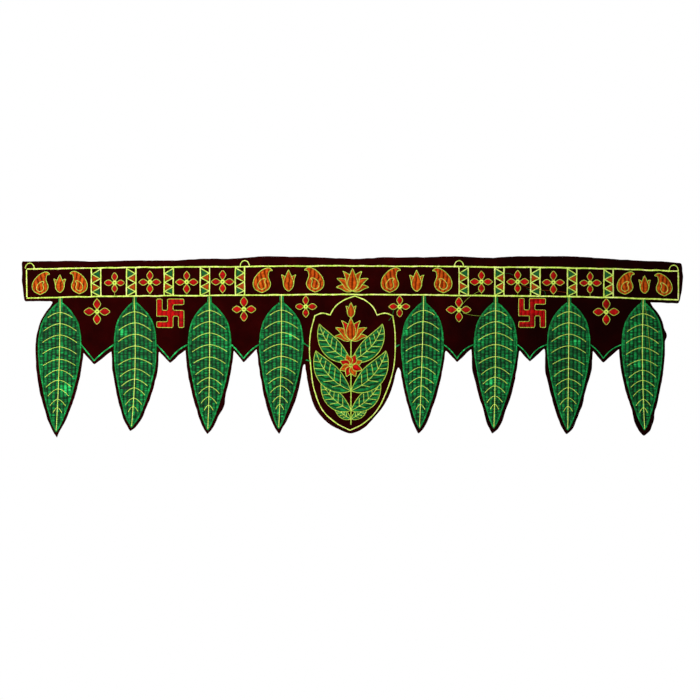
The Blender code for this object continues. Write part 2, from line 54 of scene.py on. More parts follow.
# The header: top edge and camber of its rope lines, as rows of (x, height)
TOP_EDGE = (
    (-470, -3.6),
    (-420, -3.8),
    (-370, -4.4),
    (-305, -2.3),
    (-255, -2.5),
    (-200, -0.6),
    (-166, 0.5),
    (-140, 2.4),
    (-85, 3.1),
    (-40, 2.0),
    (0, 0.0),
    (40, 1.6),
    (100, 1.4),
    (150, 2.8),
    (195, 1.8),
    (240, 2.9),
    (290, 3.8),
    (330, 2.2),
    (375, -0.9),
    (412, -3.3),
    (440, -3.9),
    (470, -6.5),
)
CAMBER = (
    (-470, -4.8),
    (-330, -2.4),
    (-180, -1.2),
    (-40, 0.1),
    (80, -0.5),
    (210, -1.6),
    (330, -3.2),
    (410, -5.4),
    (470, -8.0),
)
UPPER_LINE, LOWER_LINE = -10.6, -51.3
END_LINE_INSET = 7.0
HEADER_MARGIN_BELOW = 4.6
TOP_REACH = 440.0

# The header's ends from top to bottom: rows of (inset from the end, share of the end's height)
LEFT_END = ((1.2, 0.0), (0.0, 0.05), (0.4, 0.52), (4.1, 0.98), (5.9, 1.0))
RIGHT_END = ((2.8, 0.0), (1.0, 0.11), (0.0, 0.32), (1.3, 0.64), (5.0, 0.93), (7.1, 1.0))
ROOT_REACH = 12.0

# Leaves: rows of (share of the leaf's length, stitched half width, cut half width)
LEAF_ROWS = (
    (0.00, 2.2, 9.8),
    (0.03, 9.0, 13.2),
    (0.06, 14.4, 18.2),
    (0.10, 20.3, 23.8),
    (0.15, 25.6, 29.0),
    (0.21, 28.8, 32.2),
    (0.30, 30.9, 34.2),
    (0.38, 30.9, 34.2),
    (0.46, 29.2, 32.6),
    (0.55, 26.4, 30.4),
    (0.65, 22.4, 26.8),
    (0.74, 18.3, 22.8),
    (0.84, 12.5, 17.0),
    (0.91, 8.2, 12.2),
    (0.96, 4.4, 8.0),
    (1.00, 0.0, 4.0),
)
CUT_TIP_SHARE = 1.028
LEAF_TOP = -61.9
# Each leaf's own form: `fuller` widens its lower part and `blunt` its cut tip, in mm on each side,
# `aside` and `drop` move the cut tip, and `vein_shift` and `vein_stretch` move its veins' shares
Leaf = namedtuple(
    "Leaf", "root_x tip_x tip_z bend breadth fuller blunt aside drop bow curl vein_shift vein_stretch"
)
LEAVES = (
    Leaf(-415.5, -420.8, -247.4, 1.3, 1.00, 0.5, 0.2, 1.6, 2.8, 4.0, 1.2, -0.002, -0.006),
    Leaf(-310.0, -313.4, -240.8, 3.0, 0.98, 2.3, 1.4, -1.8, 0.0, 6.5, -1.0, -0.007, 0.0245),
    Leaf(-203.6, -205.5, -244.6, 1.4, 1.00, 0.0, 0.7, -0.6, 0.6, 3.5, 1.4, -0.0165, 0.003),
    Leaf(-101.2, -104.8, -242.4, 1.4, 1.02, -0.3, 0.4, 1.0, 2.2, 5.5, 0.8, -0.020, 0.011),
    Leaf(101.0, 95.0, -242.2, 0.3, 0.98, 0.2, 1.2, -1.5, 1.6, 5.0, 1.0, -0.018, 0.010),
    Leaf(203.3, 200.6, -242.2, 0.9, 1.00, -0.3, 2.2, -2.2, 2.0, 3.0, -1.2, -0.0145, 0.0045),
    Leaf(307.4, 305.0, -244.6, 0.3, 1.00, 0.4, 1.4, -1.8, 0.3, 6.0, 1.3, -0.007, 0.001),
    Leaf(413.0, 414.7, -244.6, -2.0, 0.955, 0.7, 3.4, -1.3, 1.6, 4.5, -0.8, 0.0085, -0.005),
)
FULLER_FROM, FULLER_OVER, FULLER_END = 0.35, 0.20, 0.12
BLUNT_FROM, BLUNT_OVER = 0.84, 0.12
LEAF_STEPS = 70

# Veins: share of the leaf's length at the midrib, at the vein's end, and the end's share of the breadth
VEIN_ROWS = (
    (0.082, 0.122, 0.77),
    (0.168, 0.226, 0.80),
    (0.256, 0.315, 0.80),
    (0.347, 0.402, 0.80),
    (0.442, 0.492, 0.80),
    (0.524, 0.582, 0.78),
    (0.603, 0.657, 0.78),
    (0.671, 0.727, 0.75),
    (0.750, 0.802, 0.72),
    (0.815, 0.856, 0.52),
)
VEIN_POWER = 1.75
MIDRIB_END_SHARE = 0.985

# Points of the web between leaves: rows of (x, lowest point), by the number of the leaf to their left
WEB_POINTS = {
    0: (-367.0, -150.8),
    1: (-259.4, -149.2),
    2: (-154.9, -147.8),
    4: (148.5, -148.1),
    5: (251.8, -147.7),
    6: (356.3, -147.6),
}
# How far above its point the web meets the leaf to its left and the one to its right
WEB_RISE_LEFT, WEB_RISE_RIGHT = 17.0, 19.5
WEB_LINE_INSET = 5.6
WEB_LINE_TOP = -122.5
LEFT_SLIT = (-68.2, -150.0)
RIGHT_SLIT = (65.0, -154.3)
SLIT_MARGIN_SHARE = 0.03
LEAF_BEFORE_SHIELD = 3
# Where the cut strays outward from its usual line: rows of (x, z, distance, reach)
CUT_STRAYS = (
    (-184.6, -211.0, 2.4, 18.0),
    (128.0, -209.0, 1.6, 16.0),
    (169.4, -160.0, 2.2, 26.0),
    (273.6, -160.0, 1.8, 26.0),
    (341.0, -160.0, 1.8, 26.0),
    (328.6, -209.0, 1.6, 16.0),
    (444.0, -109.3, 3.0, 10.0),
)

# Shield: rows of (height, cut half width, place of its middle)
SHIELD_X = -2.4
SHIELD_ROWS = (
    (-158.5, 65.2, -2.1),
    (-173.0, 61.9, -2.3),
    (-187.0, 58.3, -2.8),
    (-198.4, 54.5, -3.9),
    (-209.7, 49.1, -5.5),
    (-220.0, 42.1, -6.6),
    (-229.5, 33.2, -6.4),
    (-238.2, 23.6, -4.6),
    (-244.4, 12.9, -2.8),
    (-248.6, 0.0, -2.4),
)
SHIELD_STEP = 2.0
# The stitched line inside the shield: rows of (half width, height, lean of its middle)
SHIELD_LINE_ROWS = (
    (0.0, -53.2, 3.4),
    (17.0, -60.5, 2.6),
    (27.5, -69.5, 2.0),
    (33.4, -80.4, 1.6),
    (44.6, -77.6, 2.0),
    (55.4, -81.4, 1.8),
    (59.6, -103.0, 0.6),
    (60.9, -126.4, -0.2),
    (59.0, -153.7, -0.3),
    (51.6, -186.8, -2.6),
    (38.2, -216.0, -3.8),
    (17.2, -235.3, -3.4),
    (0.0, -244.0, -3.3),
)
# Rows of that line where it turns sharply: the apex, the cusp, the corner and the lowest point
SHIELD_TURNS = (0, 3, 5, 12)
SHIELD_BOW = 3.0

# Separators in the header: rows of (middle x, side of the zigzag's first point)
SEPARATORS = (
    (-364.2, 1),
    (-314.3, -1),
    (-261.0, 1),
    (-209.7, -1),
    (-159.8, -1),
    (157.9, 1),
    (208.7, -1),
    (259.7, 1),
    (311.9, -1),
    (363.8, -1),
)
SEPARATOR_HALF_WIDTH = 6.6
ZIGZAG_HALF_WIDTH = 5.8
ZIGZAG_SHARES = (0.05, 0.22, 0.38, 0.53, 0.69, 0.84, 0.98)
# Threads of the triangles between the zigzag and its two sides, from the top; None is bare
TRIANGLE_THREADS = ("green", "orange", None, "orange", "green")

# Four-petal flowers: rows of (x, z, reach of a petal)
FLOWERS = (
    (-337.9, -34.6, 14.4),
    (-287.8, -33.7, 16.0),
    (-235.6, -33.6, 16.0),
    (-184.6, -33.1, 16.0),
    (183.2, -33.1, 16.0),
    (234.6, -33.1, 16.0),
    (285.3, -34.1, 16.0),
    (337.4, -34.8, 15.6),
    (-362.9, -75.5, 18.4),
    (-154.3, -72.2, 17.6),
    (-66.4, -68.4, 15.2),
    (67.0, -68.4, 15.0),
    (151.2, -72.7, 17.9),
    (360.5, -75.9, 18.4),
)
HEADER_FLOWERS = 8
FLOWER_RING = 3.8
FLOWER_HOLE = 0.7
PETAL_ROWS = ((0.16, 0.0), (0.42, 0.215), (0.60, 0.285), (0.80, 0.18), (1.0, 0.0))
PETAL_GAP = 0.1

# Auspicious signs: rows of (middle x, middle z, width, height)
SIGNS = ((-258.8, -77.8, 38.4, 40.4), (255.1, -77.3, 38.0, 41.2))

# How the cloth hangs from its four nail points
NAIL_X = (-458.6, -153.1, 151.4, 456.5)
SPAN_BELLY = 2.0
SPAN_FLAT_SHARE, SPAN_EASE_SHARE = 0.07, 0.36
BOW_TOP, BOW_DROP, MOST_FALL = -62.0, 185.0, 1.1
CURL_REACH = 40.0
NAIL_MARK_HALF_WIDTH, NAIL_MARK_HEIGHT = 6.4, 8.6
ROPE_HALF_WIDTH = 1.3
LEAST_MITRE = 0.6

# The velvet's mesh: spacing of its points, and the ragged cut of its edge
EDGE_STEP = 1.5
FRONT_GRID, BACK_GRID = 2.6, 5.0
EDGE_ROUND = 0.6
RAG_WAVES = ((45.0, 0.75), (9.0, 0.35), (3.0, 0.16))
PUCKER = 0.10

# Stitches: width of the thread, rise of its middle, level of its ends
Stitch = namedtuple("Stitch", "width rise level")
FILL = Stitch(0.70, 0.45, 0.15)
BORDER = Stitch(0.62, 0.70, 0.10)
ROPE = Stitch(0.70, 0.85, 0.10)
ZIGZAG = Stitch(0.60, 0.60, 0.10)
OUTLINE = Stitch(0.62, 0.32, 0.18)
VEIN = Stitch(0.64, 0.34, 0.60)

# Sections of a stitch: rows of (share of its length, girth, arch, change of tone: painted shade below 0,
# painted highlight above)
LONG_STITCH = (
    (0.0, 0.0, -0.3, 0.0),
    (0.09, 0.85, 0.65, 0.0),
    (0.5, 1.0, 1.0, 0.0),
    (0.91, 0.85, 0.65, 0.0),
    (1.0, 0.0, -0.3, 0.0),
)
SHORT_STITCH = ((0.0, 0.0, -0.3, 0.0), (0.22, 1.0, 0.9, 0.0), (0.78, 1.0, 0.9, 0.0), (1.0, 0.0, -0.3, 0.0))
# One in a filled field, with painted shade where it goes down into the cloth and a slight painted
# highlight at its middle
SHADED_FIELD_STITCH = (
    (0.0, 0.0, -0.3, -0.45),
    (0.12, 0.85, 0.6, -0.15),
    (0.5, 1.0, 1.0, 0.03),
    (0.88, 0.85, 0.6, -0.15),
    (1.0, 0.0, -0.3, -0.45),
)


def smooth(rows, at, column=1):
    """The value of one column where the first column is `at`, on a smooth curve through the rows."""
    table = np.array(rows, dtype=float)
    stations, values = table[:, 0], table[:, column]
    slopes = np.gradient(values, stations)
    at = np.clip(at, stations[0], stations[-1])
    row = np.clip(np.searchsorted(stations, at) - 1, 0, len(stations) - 2)
    gap = stations[row + 1] - stations[row]
    share = (at - stations[row]) / gap
    return (
        values[row] * (1 + 2 * share) * (1 - share) ** 2
        + values[row + 1] * share**2 * (3 - 2 * share)
        + gap * slopes[row] * share * (1 - share) ** 2
        + gap * slopes[row + 1] * share**2 * (share - 1)
    )


def travel_of(line):
    return np.append(0.0, np.cumsum(np.linalg.norm(np.diff(line, axis=0), axis=1)))


def smooth_line(points, step):
    """A smooth open line through the points, with a point about every step."""
    points = np.array(points, dtype=float)
    rows = np.column_stack((travel_of(points), points))
    at = np.linspace(0.0, rows[-1, 0], max(2, round(rows[-1, 0] / step)) + 1)
    return np.column_stack((smooth(rows, at, 1), smooth(rows, at, 2)))


def resample(line, step):
    """The same open line with a point about every step."""
    line = np.array(line, dtype=float)
    travel = travel_of(line)
    at = np.linspace(0.0, travel[-1], max(2, round(travel[-1] / step)) + 1)
    return np.column_stack([np.interp(at, travel, line[:, axis]) for axis in (0, 1)])


def ease(share):
    share = np.clip(share, 0.0, 1.0)
    return share * share * (3.0 - 2.0 * share)


def wander(at, wave, seed):
    """A soft random value between -1 and 1 that changes over about a wave."""
    knots = np.random.default_rng(seed).uniform(-1.0, 1.0, 4096)
    place = np.asarray(at) / wave + 2048.0
    row = np.floor(place).astype(int)
    share = ease(place - row)
    return knots[row] * (1.0 - share) + knots[row + 1] * share


def patches(places, wide, tall, seed):
    """Soft random patches between -1 and 1, about so wide and so tall."""
    side = 128
    table = np.random.default_rng(seed).uniform(-1.0, 1.0, (side, side))
    across, up = places[:, 0] / wide, places[:, 1] / tall
    column, row = np.floor(across).astype(int), np.floor(up).astype(int)
    right, top = ease(across - column), ease(up - row)
    column, row = column % side, row % side
    beside, above = (column + 1) % side, (row + 1) % side
    low = table[row, column] * (1.0 - right) + table[row, beside] * right
    high = table[above, column] * (1.0 - right) + table[above, beside] * right
    return low * (1.0 - top) + high * top


def header_height(x, level):
    """Height of a line that follows the header's camber."""
    return level + smooth(CAMBER, x)


def leaf_half_width(leaf, share, column):
    """Half the leaf's breadth inside its stitched (column 1) or cut (column 2) edge."""
    half_width = leaf.breadth * smooth(LEAF_ROWS, share, column)
    lower = ease((share - FULLER_FROM) / FULLER_OVER) * ease((1.0 - share) / FULLER_END)
    tip = ease((share - BLUNT_FROM) / BLUNT_OVER) * (column == 2)
    return half_width + leaf.fuller * lower + leaf.blunt * tip


def leaf_middle(leaf, share):
    sideways = 4.0 * leaf.bend * np.clip(share, 0, 1) * (1 - np.clip(share, 0, 1))
    return leaf.root_x + (leaf.tip_x - leaf.root_x) * share + sideways


def leaf_height(leaf, share):
    return LEAF_TOP + (leaf.tip_z - LEAF_TOP) * share


def leaf_edge(leaf, share, side, column, inset=0.0):
    """A point of the leaf's stitched (column 1) or cut (column 2) edge."""
    half_width = np.maximum(leaf_half_width(leaf, share, column) - inset, 0.0)
    return leaf_middle(leaf, share) + side * half_width, leaf_height(leaf, share)


def leaf_share(leaf, height):
    return (height - LEAF_TOP) / (leaf.tip_z - LEAF_TOP)


def cut_leaf(number):
    """The cut edge of one leaf, from its left start round the tip to its right start."""
    leaf = LEAVES[number]
    starts = []
    webs = ((number - 1, WEB_RISE_RIGHT, RIGHT_SLIT), (number, WEB_RISE_LEFT, LEFT_SLIT))
    for web, rise, slit in webs:
        if web in WEB_POINTS:
            starts.append(leaf_share(leaf, WEB_POINTS[web][1] + rise))
        elif 0 <= web < len(LEAVES) - 1:
            starts.append(leaf_share(leaf, slit[1]) + SLIT_MARGIN_SHARE)
        else:
            starts.append(0.0)
    sides = []
    for side, start in zip((-1, 1), starts):
        shares = np.linspace(start, 1.0, LEAF_STEPS)
        sides.append(np.column_stack(leaf_edge(leaf, shares, side, 2)))
    tip_x = leaf_middle(leaf, CUT_TIP_SHARE) + leaf.aside
    tip = (tip_x, leaf_height(leaf, CUT_TIP_SHARE) - leaf.drop)
    return [*sides[0], tip, *sides[1][::-1]]


def cut_shield():
    left = [(middle - half_width, z) for z, half_width, middle in SHIELD_ROWS]
    right = [(middle + half_width, z) for z, half_width, middle in SHIELD_ROWS[-2::-1]]
    return list(smooth_line(left + right, SHIELD_STEP))


def header_end(rows, side):
    """One end of the header, from its top corner down to the first leaf beside it."""
    end, bottom = side * HALF_LENGTH, LOWER_LINE - HEADER_MARGIN_BELOW
    top, low = smooth(TOP_EDGE, end), header_height(end, bottom)
    points = [(end - side * inset, top + share * (low - top)) for inset, share in rows]
    root = LEAVES[0 if side < 0 else -1].root_x + side * ROOT_REACH
    return points + [(root, header_height(root, bottom))]


def strayed(outline):
    """The same closed outline, moved outward where the cut strays."""
    outward = outline - offset_loop(outline, 1.0)
    for x, z, distance, reach in CUT_STRAYS:
        away = np.hypot(outline[:, 0] - x, outline[:, 1] - z) / reach
        outline = outline + outward * (distance * ease(1.0 - away))[:, None]
    return outline


def cloth_outline():
    """The cut edge of the cloth, anticlockwise as seen from the front."""
    outline = header_end(LEFT_END, -1)
    for number in range(len(LEAVES)):
        outline += cut_leaf(number)
        if number in WEB_POINTS:
            outline.append(WEB_POINTS[number])
        elif number == LEAF_BEFORE_SHIELD:
            outline += [LEFT_SLIT] + cut_shield() + [RIGHT_SLIT]
    outline += header_end(RIGHT_END, 1)[::-1]
    stations = np.arange(TOP_REACH, -TOP_REACH, -4.0)
    return strayed(np.array(outline + [(x, smooth(TOP_EDGE, x)) for x in stations]))


def belly(x):
    """How far the header bellies forward between two nail points, flat close to each."""
    nails = np.array(NAIL_X)
    span = np.clip(np.searchsorted(nails, x) - 1, 0, len(nails) - 2)
    share = (x - nails[span]) / (nails[span + 1] - nails[span])
    near_end = np.minimum(share, 1.0 - share)
    return SPAN_BELLY * ease((near_end - SPAN_FLAT_SHARE) / SPAN_EASE_SHARE)


def hang(places):
    """How far back the hung cloth lies at each place: 0 at the nails, less than 0 forward of them."""
    x, z = places[:, 0], places[:, 1]
    fall = np.clip((BOW_TOP - z) / BOW_DROP, 0.0, MOST_FALL)
    middles = [(leaf.root_x, leaf.bow) for leaf in LEAVES] + [(SHIELD_X, SHIELD_BOW)]
    bow = smooth(sorted(middles), x)
    curl = np.zeros(len(places))
    for leaf in LEAVES:
        across = (x - leaf_middle(leaf, leaf_share(leaf, z))) / CURL_REACH
        curl += leaf.curl * across**2 * (np.abs(across) < 1.0) * fall
    return -belly(x) - bow * fall**2 - curl


def offset_line(line, distance):
    """An open line moved sideways, to its left for a positive distance."""
    steps = np.diff(line, axis=0)
    steps /= np.maximum(np.linalg.norm(steps, axis=1), 1e-9)[:, None]
    across = np.column_stack((-steps[:, 1], steps[:, 0]))
    normals = np.vstack((across[:1], across[:-1] + across[1:], across[-1:]))
    normals /= np.maximum(np.linalg.norm(normals, axis=1), 1e-9)[:, None]
    inner = np.concatenate(([1.0], np.sum(normals[1:-1] * across[:-1], axis=1), [1.0]))
    return line + normals * (distance / np.maximum(inner, LEAST_MITRE))[:, None]


def area_of(loop):
    after = np.roll(loop, -1, axis=0)
    return 0.5 * np.sum(loop[:, 0] * after[:, 1] - after[:, 0] * loop[:, 1])


def anticlockwise(loop):
    loop = np.array(loop, dtype=float)
    return loop if area_of(loop) > 0 else loop[::-1]


def offset_loop(loop, distance):
    """A closed anticlockwise loop moved inwards."""
    wrapped = np.vstack((loop[-1:], loop, loop[:1]))
    return offset_line(wrapped, distance)[1:-1]


def closed(loop):
    return np.vstack((loop, loop[:1]))


def softened(loop):
    """The same closed loop with its sharpest corners rounded off."""
    return 0.25 * np.roll(loop, 1, axis=0) + 0.5 * loop + 0.25 * np.roll(loop, -1, axis=0)


def inside(places, loop):
    """Whether each place is inside a closed loop."""
    crossed = np.zeros(len(places), dtype=bool)
    for (x0, z0), (x1, z1) in zip(loop, np.roll(loop, -1, axis=0)):
        if z0 == z1:
            continue
        level = np.flatnonzero((z0 > places[:, 1]) != (z1 > places[:, 1]))
        crossing = x0 + (places[level, 1] - z0) * (x1 - x0) / (z1 - z0)
        crossed[level] ^= places[level, 0] < crossing
    return crossed


def grid_inside(loop, step):
    """Rows of places inside the loop, each row half a step along from the one before."""
    low, high = loop.min(axis=0), loop.max(axis=0)
    rise = step * 0.866
    heights = np.arange(low[1] + 0.5 * rise, high[1], rise)
    stations = np.arange(low[0] + 0.5 * step, high[0], step)
    grid_x, grid_z = np.meshgrid(stations, heights)
    grid_x += 0.5 * step * (np.arange(len(heights)) % 2)[:, None]
    grid = np.column_stack((grid_x.ravel(), grid_z.ravel()))
    return grid[inside(grid, loop)]


def triangulate(loop, grid):
    """Triangles over a closed loop and the grid inside it. The loop's places come first."""
    places = np.vstack((loop, grid))
    edges = [(i, (i + 1) % len(loop)) for i in range(len(loop))]
    inside_only, merge = 1, 1e-4
    found = delaunay_2d_cdt([tuple(place) for place in places], edges, [], inside_only, merge)
    order = [sources[0] for sources in found[3]]
    return places, np.array([[order[i] for i in face] for face in found[2]])


def in_space(places, level):
    """Points in metres, in front of the hung cloth's back by its thickness and the level."""
    return np.column_stack((places[:, 0], hang(places) - level, places[:, 1])) * MM


def strands(rows, sections):
    """Points, triangles and thread values of many stitches, each an arched strand with three sides.

    A row is (x, z of the start, x, z of the end, width, rise, level, tone).
    """
    start, end, style = rows[:, 0:2], rows[:, 2:4], rows[:, 4:8]
    width, rise, level, tone = style.T
    shares, girths, arches, shades = np.array(sections).T
    run = end - start
    length = np.linalg.norm(run, axis=1)
    aside = np.column_stack((-run[:, 1], run[:, 0])) / length[:, None]
    places, levels, values = [], [], []
    for share, girth, arch, shade in zip(shares, girths, arches, shades):
        middle = start + share * run
        height = level + rise * arch
        shaded = np.clip(tone + shade, 0.0, 1.0)
        for side in (1.0, 0.0, -1.0) if girth else (0.0,):
            places.append(middle + side * 0.5 * girth * width[:, None] * aside)
            levels.append(height + 0.45 * girth * width * (side == 0.0))
            values.append(np.column_stack((share * length, np.full(len(rows), side), shaded)))
    count = len(places)
    places = np.stack(places, axis=1).reshape(-1, 2)
    points = in_space(places, THICKNESS + np.stack(levels, axis=1).ravel())
    values = np.stack(values, axis=1).reshape(-1, 3)
    first, last = [1, 2, 3], [count - 4, count - 3, count - 2]
    faces = []
    for a, b in ((0, 1), (1, 2), (2, 0)):
        faces.append((0, first[b], first[a]))
        faces.append((count - 1, last[a], last[b]))
        for before in range(1, count - 4, 3):
            faces.append((before + a, before + b, before + 3 + b))
            faces.append((before + a, before + 3 + b, before + 3 + a))
    faces = np.array(faces)[None] + count * np.arange(len(rows))[:, None, None]
    return points, faces.reshape(-1, 3), values


def pad(loop, level, tone, grid=8.0):
    """Points, triangles and thread values of a low closed cushion under a stitched field."""
    places, top = triangulate(loop, grid_inside(offset_loop(loop, 1.0), grid))
    count, rim = len(places), np.arange(len(loop))
    after = np.roll(rim, -1)
    sides = np.vstack(
        (
            np.column_stack((rim, rim + count, after + count)),
            np.column_stack((rim, after + count, after)),
        )
    )
    faces = np.vstack((top, top[:, ::-1] + count, sides))
    lift = np.full(count, level)
    lift[rim] = 0.5 * level
    points = np.vstack((in_space(places, THICKNESS + lift), in_space(places, THICKNESS - 0.4)))
    values = np.column_stack((np.zeros(2 * count), np.zeros(2 * count), np.full(2 * count, tone)))
    return points, faces, values


def stack(*parts):
    """Several lots of points, triangles and values as one."""
    points, faces, values, count = [], [], [], 0
    for part_points, part_faces, part_values in parts:
        points.append(part_points)
        faces.append(part_faces + count)
        values.append(part_values)
        count += len(part_points)
    return np.vstack(points), np.vstack(faces), np.vstack(values)


def mesh_object(name, points, faces, materials):
    mesh = bpy.data.meshes.new(name)
    mesh.vertices.add(len(points))
    mesh.vertices.foreach_set("co", np.ascontiguousarray(points, dtype=np.float32).ravel())
    mesh.loops.add(faces.size)
    mesh.loops.foreach_set("vertex_index", np.ascontiguousarray(faces, dtype=np.int32).ravel())
    mesh.polygons.add(len(faces))
    mesh.polygons.foreach_set("loop_start", np.arange(0, faces.size, 3, dtype=np.int32))
    mesh.update(calc_edges=True)
    mesh.validate()
    mesh.shade_smooth()
    for material in materials:
        mesh.materials.append(material)
    piece = bpy.data.objects.new(name, mesh)
    bpy.context.scene.collection.objects.link(piece)
    return piece


def sewn(name, thread, *parts):
    """A piece of embroidery in one colour of thread."""
    points, faces, values = stack(*parts)
    piece = mesh_object(name, points, faces, [THREADS[thread]])
    mesh = piece.data
    thread_values = mesh.attributes.new("thread", "FLOAT_VECTOR", "POINT")
    thread_values.data.foreach_set("vector", values.astype(np.float32).ravel())
    corners = values[faces.ravel()]
    across = np.clip(0.02 + corners[:, 0] / 12.0, 0.0, 0.98)
    up = np.clip(corners[:, 2], 0.02, 0.98) + 0.008 * corners[:, 1]
    layer = mesh.uv_layers.new(name="OFBake")
    layer.data.foreach_set("uv", np.column_stack((across, up)).astype(np.float32).ravel())
    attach(piece, "root")
    return piece


def rows_of(starts, ends, stitch, tone):
    """Rows of stitches from their starts and ends, with a little play in each."""
    count = len(starts)
    play = DICE.uniform(-1.0, 1.0, (count, 3))
    width = stitch.width * (1.0 + 0.08 * play[:, 0])
    rise = stitch.rise * (1.0 + 0.15 * play[:, 1])
    level = stitch.level + 0.04 * play[:, 2]
    tones = np.clip(np.full(count, 0.0) + tone, 0.0, 1.0)
    return np.column_stack((starts, ends, width, rise, level, tones))


def along_line(line, at, reach=0.7):
    """Places at given distances along an open line, and the unit direction across it to its left."""
    travel = travel_of(line)
    place, ahead, behind = (
        np.column_stack([np.interp(at + shift, travel, line[:, axis]) for axis in (0, 1)])
        for shift in (0.0, reach, -reach)
    )
    run = ahead - behind
    run /= np.maximum(np.linalg.norm(run, axis=1), 1e-9)[:, None]
    return place, np.column_stack((-run[:, 1], run[:, 0]))


def satin(line, width, stitch, pitch, tone=0.6, swing=0.2, slant=0.35, seed=1):
    """Stitches side by side across an open line, each slanted a little."""
    line = np.array(line, dtype=float)
    at = np.arange(0.5 * pitch, travel_of(line)[-1], pitch)
    at = at + DICE.uniform(-0.12, 0.12, len(at)) * pitch
    place, across = along_line(line, at)
    forward = np.column_stack((across[:, 1], -across[:, 0]))
    half = 0.5 * width * (1.0 + 0.15 * wander(at, 5.0, seed) + 0.20 * DICE.uniform(-1, 1, len(at)))
    drift = 0.05 * width * wander(at, 7.0, seed + 1)
    reach = across * half[:, None] + forward * (slant * half)[:, None]
    middle = place + across * drift[:, None]
    tones = tone + swing * wander(at, 3.2, seed + 2) + 0.10 * DICE.uniform(-1, 1, len(at))
    return rows_of(middle - reach, middle + reach, stitch, tones)


def running(line, stitch, length=2.6, strands_beside=2, spread=0.5, tone=0.65, swing=0.2):
    """A line of stitches end to end, with so many strands beside each other."""
    line = np.array(line, dtype=float)
    total = travel_of(line)[-1]
    count = max(1, round(total / length))
    found = []
    for strand in range(strands_beside):
        aside = spread * (strand - 0.5 * (strands_beside - 1))
        cuts = np.linspace(0.0, total, count + 1)
        cuts[1:-1] += DICE.uniform(-0.12, 0.12, max(0, count - 1)) * length
        place, across = along_line(line, cuts, 0.2)
        place = place + across * (aside + 0.06 * DICE.uniform(-1, 1, (len(cuts), 1)))
        overlap = 0.04 * (place[1:] - place[:-1])
        tones = tone + swing * DICE.uniform(-1, 1, count)
        found.append(rows_of(place[:-1] - overlap, place[1:] + overlap, stitch, tones))
    return np.vstack(found)


def spans_at(loop, height):
    """The stretches of one level that lie inside a closed loop, as pairs of (left, right)."""
    after = np.roll(loop, -1, axis=0)
    crosses = (loop[:, 1] > height) != (after[:, 1] > height)
    share = (height - loop[crosses, 1]) / (after[crosses, 1] - loop[crosses, 1])
    found = np.sort(loop[crosses, 0] + share * (after[crosses, 0] - loop[crosses, 0]))
    return list(zip(found[::2], found[1::2]))


def less(spans, low, high):
    """The same stretches with the one from low to high taken out."""
    kept = []
    for left, right in spans:
        if high <= left or low >= right:
            kept.append((left, right))
            continue
        if left < low:
            kept.append((left, low))
        if high < right:
            kept.append((high, right))
    return kept


def fill(loop, stitch, turn=0.0, pitch=0.6, column=7.0, seed=1, weave=0.9, covers=()):
    """Stitches in rows that cover a closed loop, cut into columns whose ends make soft grooves.

    They leave out what the loops in `covers` lie over.
    """
    angle = np.radians(turn)
    spin = np.array([[np.cos(angle), np.sin(angle)], [-np.sin(angle), np.cos(angle)]])
    here = loop @ spin.T
    covers = [cover @ spin.T for cover in covers]
    starts, ends = [], []
    heights = np.arange(here[:, 1].min() + 0.5 * pitch, here[:, 1].max(), pitch)
    for number, height in enumerate(heights):
        spans = spans_at(here, height)
        for cover in covers:
            for low, high in spans_at(cover, height):
                spans = less(spans, low, high)
        shift = weave * wander(height, 6.0, seed) + 0.5 * weave * (number % 2)
        for left, right in spans:
            first, last = np.ceil((left - shift) / column), np.floor((right - shift) / column)
            cuts = shift + column * np.arange(first, last + 1)
            cuts = cuts + DICE.uniform(-0.25, 0.25, len(cuts))
            cuts = cuts[(cuts > left + 0.25 * column) & (cuts < right - 0.25 * column)]
            cuts = np.concatenate(([left], cuts, [right]))
            starts += [(cut, height) for cut in cuts[:-1]]
            ends += [(cut, height) for cut in cuts[1:]]
    starts = np.array(starts).reshape(-1, 2) @ spin
    ends = np.array(ends).reshape(-1, 2) @ spin
    long_enough = np.linalg.norm(ends - starts, axis=1) > 0.5
    return rows_of(starts[long_enough], ends[long_enough], stitch, 0.5)


def middles(rows):
    return 0.5 * (rows[:, 0:2] + rows[:, 2:4])


def toned(rows, tone):
    rows[:, 7] = np.clip(tone + 0.08 * DICE.uniform(-1, 1, len(rows)), 0.0, 1.0)
    return rows


def linear(red, green, blue):
    """A colour in linear light from its usual values of 0 to 255."""
    share = np.array([red, green, blue]) / 255.0
    light = np.where(share <= 0.04045, share / 12.92, ((share + 0.055) / 1.055) ** 2.4)
    return (*light.tolist(), 1.0)


def node(tree, kind, **values):
    made = tree.nodes.new(kind)
    for name, value in values.items():
        if hasattr(made, name):
            setattr(made, name, value)
        else:
            made.inputs[name.replace("_", " ")].default_value = value
    return made


def ramp(tree, stops):
    made = tree.nodes.new("ShaderNodeValToRGB")
    elements = made.color_ramp.elements
    for _ in range(len(stops) - 2):
        elements.new(0.5)
    for element, (place, colour) in zip(elements, stops):
        element.position, element.color = place, colour
    return made


def shader_of(name):
    material = bpy.data.materials.new(name)
    material.use_nodes = True
    return material, material.node_tree, material.node_tree.nodes["Principled BSDF"]


